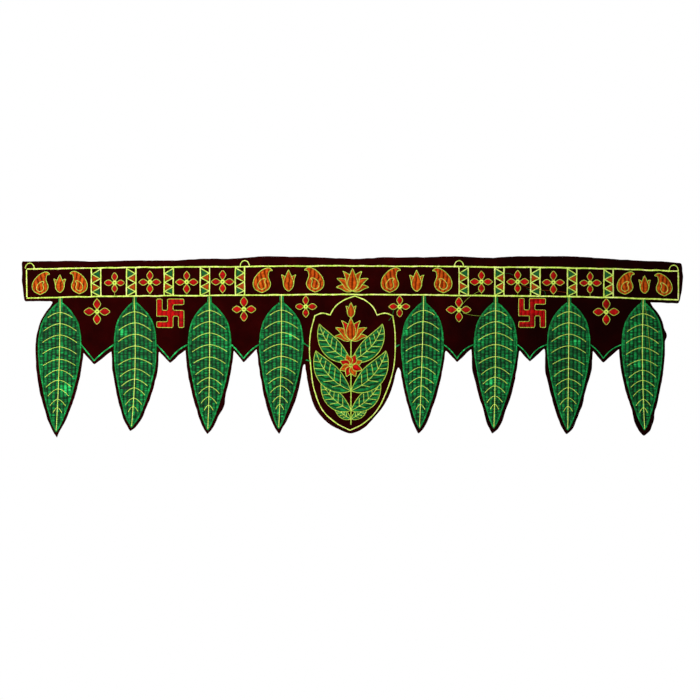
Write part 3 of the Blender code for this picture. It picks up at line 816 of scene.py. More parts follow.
def thread_material(name, dark, middle, bright, painted_glint):
    """Shiny embroidery thread: its tone is the stitch's own, with painted shade at the dark end and a
    painted highlight at the bright end, and the twist of its ply in relief.
    """
    material, tree, shader = shader_of(name)
    link = tree.links.new
    values = node(tree, "ShaderNodeAttribute", attribute_name="thread")
    parts = node(tree, "ShaderNodeSeparateXYZ")
    link(values.outputs["Vector"], parts.inputs["Vector"])
    # From painted shade in the grooves, through the thread's own middle and bright colours, to a painted
    # highlight
    tones = ramp(tree, [(0.0, dark), (0.4, middle), (0.75, bright), (1.0, painted_glint)])
    link(parts.outputs["Z"], tones.inputs["Fac"])
    link(tones.outputs["Color"], shader.inputs["Base Color"])
    along = node(tree, "ShaderNodeMath", operation="MULTIPLY")
    along.inputs[1].default_value = 2.2
    link(parts.outputs["X"], along.inputs[0])
    around = node(tree, "ShaderNodeMath", operation="MULTIPLY_ADD")
    around.inputs[1].default_value = 0.45
    link(parts.outputs["Y"], around.inputs[0])
    link(along.outputs["Value"], around.inputs[2])
    turns = node(tree, "ShaderNodeMath", operation="MULTIPLY")
    turns.inputs[1].default_value = 2.0 * np.pi
    link(around.outputs["Value"], turns.inputs[0])
    twist = node(tree, "ShaderNodeMath", operation="SINE")
    link(turns.outputs["Value"], twist.inputs[0])
    bump = node(tree, "ShaderNodeBump", Strength=0.25, Distance=0.00008)
    link(twist.outputs["Value"], bump.inputs["Height"])
    link(bump.outputs["Normal"], shader.inputs["Normal"])
    shader.inputs["Roughness"].default_value = 0.5
    shader.inputs["Specular IOR Level"].default_value = 0.12
    return material


# Stretch of X, in metres, over which painted shade darkens the pile towards the right end, and how much
# darker it gets
PAINTED_SHADE_SPAN, PAINTED_SHADE_DEPTH = (0.02, 0.34), 0.16


def velvet_material():
    """Short dark pile: soft patches where it lies one way or the other, a fine grain, and painted shade
    towards the right end.
    """
    material, tree, shader = shader_of("velvet_pile")
    link = tree.links.new
    place = node(tree, "ShaderNodeTexCoord")
    nap = node(tree, "ShaderNodeTexNoise", Scale=28.0, Detail=3.0, Roughness=0.6)
    grain = node(tree, "ShaderNodeTexNoise", Scale=1900.0, Detail=2.0, Roughness=0.7)
    link(place.outputs["Object"], nap.inputs["Vector"])
    link(place.outputs["Object"], grain.inputs["Vector"])
    mixed = node(tree, "ShaderNodeMath", operation="MULTIPLY_ADD")
    mixed.inputs[1].default_value = 0.55
    link(grain.outputs["Fac"], mixed.inputs[0])
    half = node(tree, "ShaderNodeMath", operation="MULTIPLY")
    half.inputs[1].default_value = 0.45
    link(nap.outputs["Fac"], half.inputs[0])
    link(half.outputs["Value"], mixed.inputs[2])
    parts = node(tree, "ShaderNodeSeparateXYZ")
    link(place.outputs["Object"], parts.inputs["Vector"])
    # Painted shade: the pile's tone is lowered over the given stretch of X, darker towards the right end
    turned = node(tree, "ShaderNodeMapRange", interpolation_type="SMOOTHSTEP")
    turned.inputs["From Min"].default_value, turned.inputs["From Max"].default_value = PAINTED_SHADE_SPAN
    turned.inputs["To Max"].default_value = PAINTED_SHADE_DEPTH
    link(parts.outputs["X"], turned.inputs["Value"])
    lie = node(tree, "ShaderNodeMath", operation="SUBTRACT")
    link(mixed.outputs["Value"], lie.inputs[0])
    link(turned.outputs["Result"], lie.inputs[1])
    stops = [(0.18, linear(9, 0, 0)), (0.36, linear(17, 0, 0)), (0.52, linear(30, 0, 0))]
    tones = ramp(tree, stops + [(0.75, linear(50, 2, 2))])
    link(lie.outputs["Value"], tones.inputs["Fac"])
    link(tones.outputs["Color"], shader.inputs["Base Color"])
    bump = node(tree, "ShaderNodeBump", Strength=0.5, Distance=0.0002)
    link(grain.outputs["Fac"], bump.inputs["Height"])
    link(bump.outputs["Normal"], shader.inputs["Normal"])
    shader.inputs["Roughness"].default_value = 0.95
    shader.inputs["Specular IOR Level"].default_value = 0.02
    shader.inputs["Sheen Weight"].default_value = 0.04
    shader.inputs["Sheen Roughness"].default_value = 0.4
    shader.inputs["Sheen Tint"].default_value = linear(150, 40, 45)
    return material


def backing_material():
    """The plain woven back of the velvet: threads over and under each other."""
    material, tree, shader = shader_of("velvet_back")
    link = tree.links.new
    place = node(tree, "ShaderNodeTexCoord")
    heights = []
    for direction in ("X", "Z"):
        waves = node(tree, "ShaderNodeTexWave", bands_direction=direction, Scale=420.0, Distortion=1.5)
        waves.inputs["Detail"].default_value = 1.0
        waves.inputs["Detail Scale"].default_value = 3.0
        link(place.outputs["Object"], waves.inputs["Vector"])
        heights.append(waves)
    weave = node(tree, "ShaderNodeMath", operation="MAXIMUM")
    link(heights[0].outputs["Fac"], weave.inputs[0])
    link(heights[1].outputs["Fac"], weave.inputs[1])
    tones = ramp(tree, [(0.2, linear(30, 8, 9)), (0.9, linear(74, 26, 27))])
    link(weave.outputs["Value"], tones.inputs["Fac"])
    link(tones.outputs["Color"], shader.inputs["Base Color"])
    bump = node(tree, "ShaderNodeBump", Strength=0.5, Distance=0.0002)
    link(weave.outputs["Value"], bump.inputs["Height"])
    link(bump.outputs["Normal"], shader.inputs["Normal"])
    shader.inputs["Roughness"].default_value = 0.9
    shader.inputs["Specular IOR Level"].default_value = 0.1
    return material


# Each thread: painted shade, its own middle and bright colours, and a painted highlight
THREADS = {
    "green": thread_material(
        "green_embroidery", linear(4, 14, 5), linear(16, 86, 41), linear(20, 156, 74), linear(60, 226, 122)
    ),
    "lime": thread_material(
        "lime_embroidery",
        linear(98, 120, 26),
        linear(176, 210, 74),
        linear(224, 250, 112),
        linear(246, 255, 162),
    ),
    "red": thread_material(
        "red_embroidery", linear(84, 0, 0), linear(180, 0, 0), linear(220, 6, 4), linear(242, 50, 36)
    ),
    "orange": thread_material(
        "orange_embroidery",
        linear(104, 28, 0),
        linear(184, 70, 0),
        linear(226, 112, 16),
        linear(248, 166, 66),
    ),
}


def make_velvet():
    """The sheet itself: pile in front, woven back, and a cut edge that is a little ragged."""
    outline = resample(closed(cloth_outline()), EDGE_STEP)[:-1]
    travel = travel_of(closed(outline))[:-1]
    rag = sum(size * wander(travel, wave, 11 + number) for number, (wave, size) in enumerate(RAG_WAVES))
    outward = outline - offset_loop(outline, 1.0)
    outline = softened(outline + outward * rag[:, None])
    front, front_faces = triangulate(
        softened(offset_loop(outline, EDGE_ROUND)), grid_inside(offset_loop(outline, 2.2), FRONT_GRID)
    )
    back, back_faces = triangulate(
        offset_loop(outline, 0.3), grid_inside(offset_loop(outline, 2.5), BACK_GRID)
    )
    pucker = PUCKER * patches(front, 9.0, 9.0, 21) + 0.5 * PUCKER * patches(front, 3.5, 3.5, 22)
    pucker[: len(outline)] = 0.0
    rings = [
        in_space(front, THICKNESS + pucker),
        in_space(outline, np.full(len(outline), 0.72 * THICKNESS)),
        in_space(outline, np.full(len(outline), 0.22 * THICKNESS)),
        in_space(back, np.zeros(len(back))),
    ]
    firsts = np.cumsum([0] + [len(ring) for ring in rings])
    rim = np.arange(len(outline))
    after = np.roll(rim, -1)
    faces = [front_faces, back_faces[:, ::-1] + firsts[3]]
    for ring in range(3):
        here, there = firsts[ring], firsts[ring + 1]
        faces.append(np.column_stack((rim + here, rim + there, after + there)))
        faces.append(np.column_stack((rim + here, after + there, after + here)))
    kinds = np.zeros(sum(len(part) for part in faces), dtype=np.int32)
    kinds[len(front_faces) : len(front_faces) + len(back_faces)] = 1
    piece = mesh_object(
        "velvet", np.vstack(rings), np.vstack(faces), [velvet_material(), backing_material()]
    )
    piece.data.polygons.foreach_set("material_index", kinds)
    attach(piece, "root")
    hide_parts("cloth")


# Painted highlights: spots where a leaf's thread is painted brighter, as if it shone more: rows of (x, z,
# reach)
PAINTED_GLINT_SPOTS = (
    (-326.4, -104.5, 7.0),
    (-407.0, -185.6, 8.0),
    (74.7, -104.5, 6.0),
    (-88.0, -110.0, 6.0),
    (196.0, -176.0, 6.0),
    (318.0, -118.0, 7.0),
    (405.0, -150.0, 6.0),
)
# Slits where the thread has parted: rows of (left x, right x, z, height)
PARTED = ((-329.0, -313.0, -184.2, 1.3), (103.0, 119.0, -87.6, 1.2), (-228.0, -216.0, -150.0, 0.9))


def leaf_tone(rows):
    """Bundles of rows that catch the light differently, as the photograph of such a leaf shows."""
    places = middles(rows)
    # Painted sheen in bundles of rows that vary at random, a soft random tone over the leaf, and painted
    # highlights at the given spots
    painted_sheen_streaks = 0.28 * patches(places, 5.6, 1.0, 31) + 0.18 * patches(places, 2.2, 1.0, 33)
    tone = 0.47 + painted_sheen_streaks + 0.10 * patches(places, 30.0, 30.0, 32)
    for x, z, reach in PAINTED_GLINT_SPOTS:
        away = np.hypot(places[:, 0] - x, places[:, 1] - z) / reach
        tone += 0.6 * np.clip(1.2 - away, 0.0, 1.0)
    return tone


def unparted(rows):
    places = middles(rows)
    kept = np.ones(len(rows), dtype=bool)
    for left, right, z, height in PARTED:
        inside_x = (places[:, 0] > left) & (places[:, 0] < right)
        kept &= ~(inside_x & (np.abs(places[:, 1] - z) < height))
    return rows[kept]


def leaf_loop(leaf, inset):
    shares = np.linspace(0.008, 0.992, 60)
    left, right = (
        np.column_stack(leaf_edge(leaf, shares, side, 1, inset)) for side in (-1, 1)
    )
    return np.vstack((left, right[::-1]))


# Green strokes beside a leaf's stem: rows of (place beside the midrib, width), and where they end
STEM_STROKES, STEM_FOOT = ((-1.8, 1.5), (2.3, 2.7)), -72.5


def make_leaf(number):
    """One mango leaf in green: a padded field of rows, a satin border and the strokes of its stem."""
    leaf = LEAVES[number]
    field = leaf_loop(leaf, 1.5)
    rows = unparted(fill(field, FILL, column=5.7, seed=100 + number, weave=0.4))
    rows = toned(rows, leaf_tone(rows))
    loop = leaf_loop(leaf, 1.25)
    tip = np.array([(leaf_middle(leaf, 1.0), leaf_height(leaf, 0.992))])
    border = np.vstack((loop[:60], tip, loop[60:]))
    edge = satin(border, 2.7, BORDER, 0.62, tone=0.66, swing=0.16, seed=200 + number)
    top = header_height(leaf.root_x, LOWER_LINE - 1.0)
    strokes = [edge]
    for aside, width in STEM_STROKES:
        stem = [(leaf.root_x + aside, top), (leaf.root_x + aside, STEM_FOOT)]
        strokes.append(satin(stem, width, BORDER, 0.62, tone=0.66, seed=300 + number))
    sewn(
        f"leaf_{number + 1}",
        "green",
        # The thread's underlay, with painted shade in its dark tone where it shows between the stitches
        pad(leaf_loop(leaf, 2.2)[::2], 0.30, 0.03),
        strands(rows, SHADED_FIELD_STITCH),
        strands(np.vstack(strokes), SHORT_STITCH),
    )


def make_veins(number):
    """The midrib and the arched veins of one leaf, in lime over the green."""
    leaf = LEAVES[number]
    line = [(leaf.root_x, header_height(leaf.root_x, LOWER_LINE - 1.0))]
    for share in np.linspace(0.0, MIDRIB_END_SHARE, 30):
        line.append((leaf_middle(leaf, share), leaf_height(leaf, share)))
    rows = [running(line, VEIN, 2.8, 2, 0.38, tone=0.76)]
    for inner, outer, reach in VEIN_ROWS:
        inner, outer = (
            share * (1.0 + leaf.vein_stretch) + leaf.vein_shift for share in (inner, outer)
        )
        peak_x, peak_z = leaf_middle(leaf, inner), leaf_height(leaf, inner)
        edge_x, end_z = leaf_edge(leaf, outer, 1, 1)
        breadth = reach * (edge_x - leaf_middle(leaf, outer))
        lean = 0.6 * wander(inner * 100.0, 7.0, 400 + number)
        for side in (-1.0, 1.0):
            shares = np.linspace(0.0, 1.0, 12)
            arch = np.column_stack(
                (
                    peak_x + side * shares * (breadth + lean),
                    peak_z + shares**VEIN_POWER * (end_z - peak_z + lean * side),
                )
            )
            rows.append(running(arch, VEIN, 2.6, 2, 0.22, tone=0.62))
    sewn(f"leaf_veins_{number + 1}", "lime", strands(np.vstack(rows), LONG_STITCH))


def make_header_lines():
    """The frame round the header, its uprights, the zigzags and the arches at the nail points."""
    reach = HALF_LENGTH - END_LINE_INSET
    rows = []
    for number, level in enumerate((UPPER_LINE, LOWER_LINE)):
        stations = np.linspace(-reach, reach, 460)
        heights = header_height(stations, level) + 0.35 * wander(stations, 14.0, 500 + number)
        line = np.column_stack((stations, heights))
        rows.append(satin(line, 2.6, ROPE, 0.66, 0.76, 0.24, seed=510 + number))
    uprights = [-reach, reach]
    for middle, _ in SEPARATORS:
        uprights += [middle - SEPARATOR_HALF_WIDTH, middle + SEPARATOR_HALF_WIDTH]
    for number, x in enumerate(uprights):
        heights = np.linspace(header_height(x, UPPER_LINE - 0.8), header_height(x, LOWER_LINE + 0.8), 24)
        line = np.column_stack((x + 0.3 * wander(heights, 11.0, 520 + number), heights))
        rows.append(satin(line, 2.3, ROPE, 0.66, 0.80, 0.22, seed=550 + number))
    sewn("header_ropes", "lime", strands(np.vstack(rows), SHORT_STITCH))

    rows = []
    for number, (middle, side) in enumerate(SEPARATORS):
        corners = zigzag(middle, side)
        for first, last in zip(corners[:-1], corners[1:]):
            rows.append(satin([first, last], 1.7, ZIGZAG, 0.60, 0.72, 0.2, seed=600 + number))
    for number, x in enumerate(NAIL_X):
        foot = header_height(x, UPPER_LINE) + 0.9
        turns = np.linspace(0.0, np.pi, 24)
        across = x + NAIL_MARK_HALF_WIDTH * np.cos(turns)
        line = np.column_stack((across, foot + (NAIL_MARK_HEIGHT - 0.9) * np.sin(turns)))
        rows.append(satin(line, 1.7, ZIGZAG, 0.60, 0.74, 0.2, seed=650 + number))
    sewn("header_zigzags", "lime", strands(np.vstack(rows), SHORT_STITCH))


def zigzag(middle, side):
    """Corners of a separator's zigzag, from the top."""
    corners = []
    for number, share in enumerate(ZIGZAG_SHARES):
        x = middle + side * (-1) ** number * ZIGZAG_HALF_WIDTH
        corners.append((x, header_height(x, UPPER_LINE + share * (LOWER_LINE - UPPER_LINE))))
    return np.array(corners)


def make_triangles():
    """The filled triangles between each zigzag and its sides."""
    rows = {"green": [], "orange": []}
    for middle, side in SEPARATORS:
        corners = zigzag(middle, side)
        for number, thread in enumerate(TRIANGLE_THREADS):
            if thread is None:
                continue
            triangle = anticlockwise(corners[number : number + 3])
            inner = offset_loop(triangle, 1.0)
            turn = 90.0 if number % 2 else 60.0
            part = fill(inner, FILL, turn=turn, pitch=0.6, column=30.0, weave=0.0)
            rows[thread].append(toned(part, 0.42 if thread == "green" else 0.33))
    for thread, parts in rows.items():
        sewn(f"triangles_{thread}", thread, strands(np.vstack(parts), LONG_STITCH))


def petal(x, z, reach, turn):
    """One kite-shaped petal, `turn` quarter turns from the right-hand one."""
    lower = [(along, -across) for along, across in PETAL_ROWS]
    kite = np.array(lower + list(PETAL_ROWS[-2:0:-1])) * reach
    for _ in range(turn):
        kite = np.column_stack((-kite[:, 1], kite[:, 0]))
    return kite + (x, z)


def make_flowers():
    """Red petals, each in a lime outline, round a lime ring with a small hole."""
    petals, outlines, rings = [], [], []
    for number, (x, z, reach) in enumerate(FLOWERS):
        for turn in range(4):
            size = reach * (1.0 + 0.04 * DICE.uniform(-1, 1))
            loop = petal(x, z, size, turn)
            field = offset_loop(loop, PETAL_GAP)
            part = fill(field, FILL, turn=90.0 * turn + 90.0, pitch=0.6, column=30.0, weave=0.0)
            tones = 0.34 + 0.18 * patches(middles(part), 2.2, 2.2, 41)
            petals.append(toned(part, tones))
            outlines.append(running(closed(offset_loop(loop, -0.2)), OUTLINE, 2.4, 2, 0.2, tone=0.50))
        turns = np.arange(26) * 2.0 * np.pi / 26.0
        spokes = np.column_stack((np.cos(turns), np.sin(turns)))
        rings.append(
            rows_of(spokes * FLOWER_HOLE + (x, z), spokes * FLOWER_RING + (x, z), BORDER, 0.62)
        )
        if number < HEADER_FLOWERS:
            foot = header_height(x, LOWER_LINE + 0.8)
            outlines.append(running([(x, z - reach), (x, foot)], OUTLINE, 2.4, 1, tone=0.35))
        elif z - reach < -80.0:
            top = header_height(x, LOWER_LINE - 0.8)
            outlines.append(running([(x, z + reach), (x, top)], OUTLINE, 2.4, 1, tone=0.35))
    rings = np.vstack(rings)
    rings[:, 7] = np.clip(0.62 + 0.2 * DICE.uniform(-1, 1, len(rings)), 0, 1)
    sewn("flower_petals", "red", strands(np.vstack(petals), LONG_STITCH))
    sewn("flower_outlines", "lime", strands(np.vstack(outlines), LONG_STITCH))
    sewn("flower_centres", "lime", strands(rings, SHORT_STITCH))


def sign_loop(x, z, width, height):
    """The auspicious sign on a grid of five: one arm of it turned four times."""
    arm = np.array([(0, 0), (1, 0), (1, 2), (2, 2), (2, 0)], dtype=float) - 2.5
    arms = []
    for _ in range(4):
        arms.append(arm)
        arm = np.column_stack((-arm[:, 1], arm[:, 0]))
    loop = np.vstack(arms) * (width / 5.0, -height / 5.0) + (x, z)
    return anticlockwise(loop)


def make_signs():
    fields, outlines = [], []
    for number, (x, z, width, height) in enumerate(SIGNS):
        loop = sign_loop(x, z, width, height)
        part = fill(offset_loop(loop, 0.5), FILL, pitch=0.6, column=6.0, seed=700 + number)
        tones = 0.38 + 0.2 * patches(middles(part), 3.0, 2.6, 71) + 0.1 * patches(middles(part), 9, 9, 72)
        fields.append(strands(toned(part, tones), LONG_STITCH))
        # The thread's underlay, with painted shade in its dark tone where it shows between the stitches
        fields.append(pad(resample(closed(offset_loop(loop, 1.2)), 3.0)[:-1], 0.25, 0.1))
        line = resample(closed(offset_loop(loop, -0.1)), 1.5)
        outlines.append(running(line, OUTLINE, 2.5, 2, 0.2, tone=0.46))
    sewn("signs", "red", *fields)
    sewn("sign_outlines", "lime", strands(np.vstack(outlines), LONG_STITCH))


def make_shield_line():
    """The stitched line round the shield: an ogee arch over a long rounded point."""
    sides = []
    for side in (-1, 1):
        line = [(lean + side * half_width, z) for half_width, z, lean in SHIELD_LINE_ROWS]
        sides.append(line[:1])
        for first, last in zip(SHIELD_TURNS[:-1], SHIELD_TURNS[1:]):
            sides[-1] += list(smooth_line(line[first : last + 1], SHIELD_STEP))[1:]
    left, right = sides
    line = np.array(left + right[-2::-1])
    rows = satin(line, 2.1, ROPE, 0.66, 0.74, 0.22, seed=800)
    sewn("shield_line", "lime", strands(rows, SHORT_STITCH))


# Green lines on the web, by the number of the leaf to their left: width, bows to left and right of a point
WEB_LINES = {
    0: (2.3, 0.00, 0.03),
    1: (2.2, 0.02, 0.07),
    2: (2.2, 0.03, 0.06),
    4: (1.9, 0.06, 0.10),
    5: (1.7, 0.06, 0.11),
    6: (1.8, 0.05, 0.09),
}
# Short green lines that end at the shield: rows of (start, end)
WEB_STUBS = (
    ((-70.8, -119.5), (-62.0, -125.0)),
    ((61.4, -125.6), (66.5, -122.5)),
    ((-66.1, -144.3), (-58.5, -146.0)),
)


def make_web_lines():
    """Green lines from leaf to leaf along each point of the web, and short ones to the shield."""
    rows = []
    for number, (width, left_bow, right_bow) in WEB_LINES.items():
        left, right = LEAVES[number], LEAVES[number + 1]
        start = leaf_edge(left, leaf_share(left, WEB_LINE_TOP), 1, 1)
        end = leaf_edge(right, leaf_share(right, WEB_LINE_TOP), -1, 1)
        point = np.array(WEB_POINTS[number]) + (0.0, WEB_LINE_INSET)
        for line in (bowed(start, point, left_bow), bowed(point, end, right_bow)):
            rows.append(satin(line, width, ROPE, 0.62, 0.80, 0.18, seed=900 + number))
    for line in WEB_STUBS:
        rows.append(satin(line, 2.0, ROPE, 0.62, 0.74, 0.18, seed=920))
    sewn("web_lines", "green", strands(np.vstack(rows), SHORT_STITCH))


# Half widths along a ribbon's spine: rows of (share of its length, share of its half breadth)
LEAFLET = ((0.0, 0.0), (0.08, 0.35), (0.25, 0.80), (0.45, 1.0), (0.65, 0.86), (0.85, 0.45), (1.0, 0.0))
DROP = ((0.0, 0.12), (0.1, 0.62), (0.25, 0.95), (0.4, 1.0), (0.6, 0.74), (0.8, 0.38), (1.0, 0.0))
PAISLEY = ((0.0, 0.0), (0.08, 0.59), (0.25, 1.0), (0.42, 0.93), (0.6, 0.62), (0.8, 0.30), (1.0, 0.0))
# The spine of a paisley one unit tall that curls to the right, from its foot
PAISLEY_SPINE = ((0.0, 0.0), (0.0, 0.30), (0.02, 0.58), (0.12, 0.82), (0.30, 0.97), (0.46, 0.92))
PAISLEY_BREADTH, PAISLEY_HEART, HEART_RISE = 0.72, 0.46, 0.13

# A stitched shape of a picture: its ribbon, its thread, the lean of its rows and the lines on it
Ribbon = namedtuple("Ribbon", "spine profile breadth")
Shape = namedtuple("Shape", "ribbon thread turn lines")

# A flower head: rows of (turn of the petal, length, breadth, thread), those behind first
LOTUS = (
    (78.0, 21.0, 9.0, "orange"),
    (-78.0, 21.0, 9.0, "orange"),
    (52.0, 25.0, 10.0, "orange"),
    (-52.0, 25.0, 10.0, "orange"),
    (26.0, 27.0, 11.0, "red"),
    (-26.0, 27.0, 11.0, "red"),
    (0.0, 28.0, 12.0, "orange"),
)
BUD = ((24.0, 16.0, 7.0, "red"), (-24.0, 16.0, 7.0, "red"), (0.0, 19.0, 9.0, "orange"))
ROSETTE_PETALS, ROSETTE_HOLE, ROSETTE_REACH, ROSETTE_BREADTH = 8, 2.0, 17.5, 10.5

# The plant on the shield: its middle, its stem, and its leaves as rows of
# (height of the foot, reach of the tip, height of the tip, breadth, bow)
PLANT_X = -2.2
PLANT_FOOT, PLANT_TOP = -236.0, -74.0
PLANT_LEAVES = (
    (-228.0, 23.0, -206.0, 13.0, 0.08),
    (-216.0, 42.0, -175.0, 24.0, 0.09),
    (-188.0, 50.0, -131.0, 32.0, 0.12),
    (-146.0, 45.0, -93.0, 27.0, 0.12),
)
PLANT_LOTUS_FOOT, PLANT_BUD_FOOT, ROSETTE_Z = -116.0, -84.0, -152.0
LOTUS_SCALE, BUD_SCALE = 1.15, 1.15
LEAFLET_VEINS = (0.22, 0.36, 0.50, 0.64, 0.78)


def ribbon_loop(ribbon, inset=0.0):
    """The closed outline of a ribbon: its spine with a half width that follows its profile."""
    spine = resample(smooth_line(ribbon.spine, 0.8), 0.8)
    travel = travel_of(spine)
    place, across = along_line(spine, travel)
    half = 0.5 * ribbon.breadth * smooth(ribbon.profile, travel / travel[-1])
    half = np.maximum(half - inset, 0.05)
    trim = travel[-1] * 0.5 * min(1.0, inset / travel[-1])
    kept = (travel >= trim) & (travel <= travel[-1] - trim)
    left, right = place + across * half[:, None], place - across * half[:, None]
    return anticlockwise(np.vstack((left[kept], right[kept][::-1])))


def bowed(root, tip, bow):
    """A spine from root to tip that bows to its left by a share of its length."""
    root, tip = np.array(root, dtype=float), np.array(tip, dtype=float)
    run = tip - root
    across = np.array((-run[1], run[0]))
    shares = np.linspace(0.0, 1.0, 9)[:, None]
    return root + shares * run + 4.0 * bow * shares * (1.0 - shares) * across


def head_shapes(x, z, petals, scale=1.0, thread=None):
    """A flower head that opens upwards from (x, z)."""
    found = []
    for turn, length, breadth, own_thread in petals:
        angle = np.radians(turn)
        tip = (x + scale * length * np.sin(angle), z + scale * length * np.cos(angle))
        spine = bowed((x, z), tip, 0.10 * np.sign(turn))
        ribbon = Ribbon(spine, DROP, scale * breadth)
        found.append(Shape(ribbon, thread or own_thread, -turn, []))
    return found


def leaflet_shape(root, tip, breadth, bow):
    """A veined leaf of the plant."""
    spine = smooth_line(bowed(root, tip, bow), 1.0)
    travel = travel_of(spine)
    run = (spine[-1] - spine[0]) / np.linalg.norm(spine[-1] - spine[0])
    lines = [spine[1:-2]]
    for share in LEAFLET_VEINS:
        place, across = along_line(spine, np.array([share * travel[-1]]))
        reach = 0.40 * breadth * smooth(LEAFLET, min(1.0, share + 0.06))
        for hand in (-1.0, 1.0):
            lines.append(np.array([place[0], place[0] + reach * (hand * across[0] + 0.8 * run)]))
    lean = np.degrees(np.arctan2(run[1], run[0]))
    return Shape(Ribbon(spine, LEAFLET, breadth), "green", lean + 58.0 * np.sign(run[0]), lines)


def paisley_shape(x, z, height, hand, thread):
    """A paisley with its foot at (x, z), curled to the right for a hand of 1, with a smaller one in it."""
    spine = np.array(PAISLEY_SPINE) * (hand * height, height)
    heart = PAISLEY_HEART * spine + (0.0, HEART_RISE * height)
    inner = Ribbon(heart + (x, z), PAISLEY, PAISLEY_HEART * PAISLEY_BREADTH * height)
    outer = Ribbon(spine + (x, z), PAISLEY, PAISLEY_BREADTH * height)
    return Shape(outer, thread, 12.0 * hand, [closed(ribbon_loop(inner))])


PICTURE_TONES = {"green": 0.56, "red": 0.48, "orange": 0.48}


def sew_picture(name, shapes, stems=()):
    """Stitch shapes that overlap, each cut away where a later one lies, with their outlines and lines."""
    parts, lines = {}, []
    loops = [ribbon_loop(shape.ribbon) for shape in shapes]
    for number, shape in enumerate(shapes):
        covers = loops[number + 1 :]
        field = ribbon_loop(shape.ribbon, 0.5)
        rows = fill(field, FILL, shape.turn, column=6.0, seed=1000 + number, covers=covers)
        tones = PICTURE_TONES[shape.thread] + 0.16 * patches(middles(rows), 4.0, 2.2, 1100 + number)
        parts.setdefault(shape.thread, []).append(strands(toned(rows, tones), SHADED_FIELD_STITCH))
        outline = running(closed(loops[number]), OUTLINE, 2.4, 2, 0.4, tone=0.45)
        lines.append(uncovered(outline, covers))
        for line in shape.lines:
            lines.append(uncovered(running(line, VEIN, 2.4, 2, 0.2, tone=0.55), covers))
    for line in stems:
        lines.append(uncovered(running(line, OUTLINE, 2.4, 3, 0.5, tone=0.5), loops))
    for thread, fields in parts.items():
        sewn(f"{name}_{thread}", thread, *fields)
    sewn(f"{name}_lines", "lime", strands(np.vstack(lines), LONG_STITCH))


def uncovered(rows, covers):
    kept = np.ones(len(rows), dtype=bool)
    for cover in covers:
        kept &= ~inside(middles(rows), cover)
    return rows[kept]


def make_plant():
    """The flowering plant on the shield: pairs of leaves on a stem, a rosette, a lotus and a bud."""
    shapes = []
    for foot, reach, tip_z, breadth, bow in PLANT_LEAVES:
        for side in (-1, 1):
            tip = (PLANT_X + side * reach, tip_z)
            shapes.append(leaflet_shape((PLANT_X, foot), tip, breadth, -side * bow))
    for number in range(ROSETTE_PETALS):
        angle = 2.0 * np.pi * (number + 0.5) / ROSETTE_PETALS
        aim = np.array((np.cos(angle), np.sin(angle)))
        middle = np.array((PLANT_X, ROSETTE_Z))
        spine = bowed(middle + ROSETTE_HOLE * aim, middle + ROSETTE_REACH * aim, 0.0)
        thread = "red" if number % 2 else "orange"
        ribbon = Ribbon(spine, DROP, ROSETTE_BREADTH)
        shapes.append(Shape(ribbon, thread, np.degrees(angle) + 90.0, []))
    shapes += head_shapes(PLANT_X, PLANT_BUD_FOOT, BUD, BUD_SCALE)
    shapes += head_shapes(PLANT_X, PLANT_LOTUS_FOOT, LOTUS, LOTUS_SCALE)
    sew_picture("plant", shapes, [[(PLANT_X, PLANT_FOOT), (PLANT_X, PLANT_TOP)]])


# Ornaments of the panels: rows of (kind, x, height of the foot, size, hand)
CENTRE_PANEL = (
    ("paisley", -129.0, -48.0, 34.0, 1),
    ("bud", -91.0, -46.0, 1.6, 1),
    ("paisley", -53.0, -48.0, 34.0, -1),
    ("lotus", 0.0, -46.0, 1.15, 1),
    ("paisley", 53.0, -48.0, 34.0, 1),
    ("bud", 91.0, -46.0, 1.6, 1),
    ("paisley", 129.0, -48.0, 34.0, -1),
)
LEFT_PANEL = (
    ("paisley", -444.0, -47.0, 31.0, 1),
    ("bud", -416.0, -44.5, 1.35, 1),
    ("paisley", -388.0, -47.0, 31.0, -1),
)
RIGHT_PANEL = (
    ("paisley", 387.0, -46.5, 31.0, 1),
    ("bud", 415.0, -44.0, 1.35, 1),
    ("paisley", 443.0, -46.5, 31.0, -1),
)


def make_panel(name, ornaments):
    """A row of orange ornaments in one panel of the header."""
    shapes = []
    for kind, x, z, size, hand in ornaments:
        foot = header_height(x, z)
        if kind == "paisley":
            shapes.append(paisley_shape(x, foot, size, hand, "orange"))
        else:
            petals = {"lotus": LOTUS, "bud": BUD}[kind]
            shapes += head_shapes(x, foot, petals, size, "orange")
    sew_picture(name, shapes)


# Loose threads that the machine left from one field to the next: rows of (thread, tone, points)
JUMP_THREADS = (
    ("lime", 0.30, ((182.7, -44.8), (172.0, -51.0), (161.4, -59.0), (151.2, -71.8))),
    ("lime", 0.20, ((157.1, -77.5), (170.0, -80.6), (185.6, -81.8))),
    ("lime", 0.30, ((415.5, -63.5), (419.6, -99.0), (422.3, -130.0), (423.8, -161.4))),
    ("orange", 0.15, ((240.0, -38.5), (268.0, -45.0), (283.0, -45.6), (304.6, -48.6))),
    ("green", 0.45, ((216.9, -21.4), (222.5, -21.2), (228.2, -23.8))),
    ("green", 0.45, ((246.7, -42.0), (250.5, -45.0), (252.4, -49.0))),
    ("green", 0.50, ((266.0, -45.2), (271.6, -45.8), (273.8, -49.6), (272.6, -54.0))),
    ("green", 0.70, ((58.5, -70.5), (57.8, -76.0), (56.2, -81.5), (51.5, -88.5))),
)
JUMP = Stitch(0.45, 0.25, 1.0)


def make_jump_threads():
    for number, (thread, tone, points) in enumerate(JUMP_THREADS):
        line = smooth_line(points, 1.5)
        rows = running(line, JUMP, 3.0, 1, tone=tone, swing=0.08)
        sewn(f"jump_thread_{number + 1}", thread, strands(rows, LONG_STITCH))


# Light of the floor itself, which the lamps on the hanging barely reach
FLOOR_GLOW = 0.45


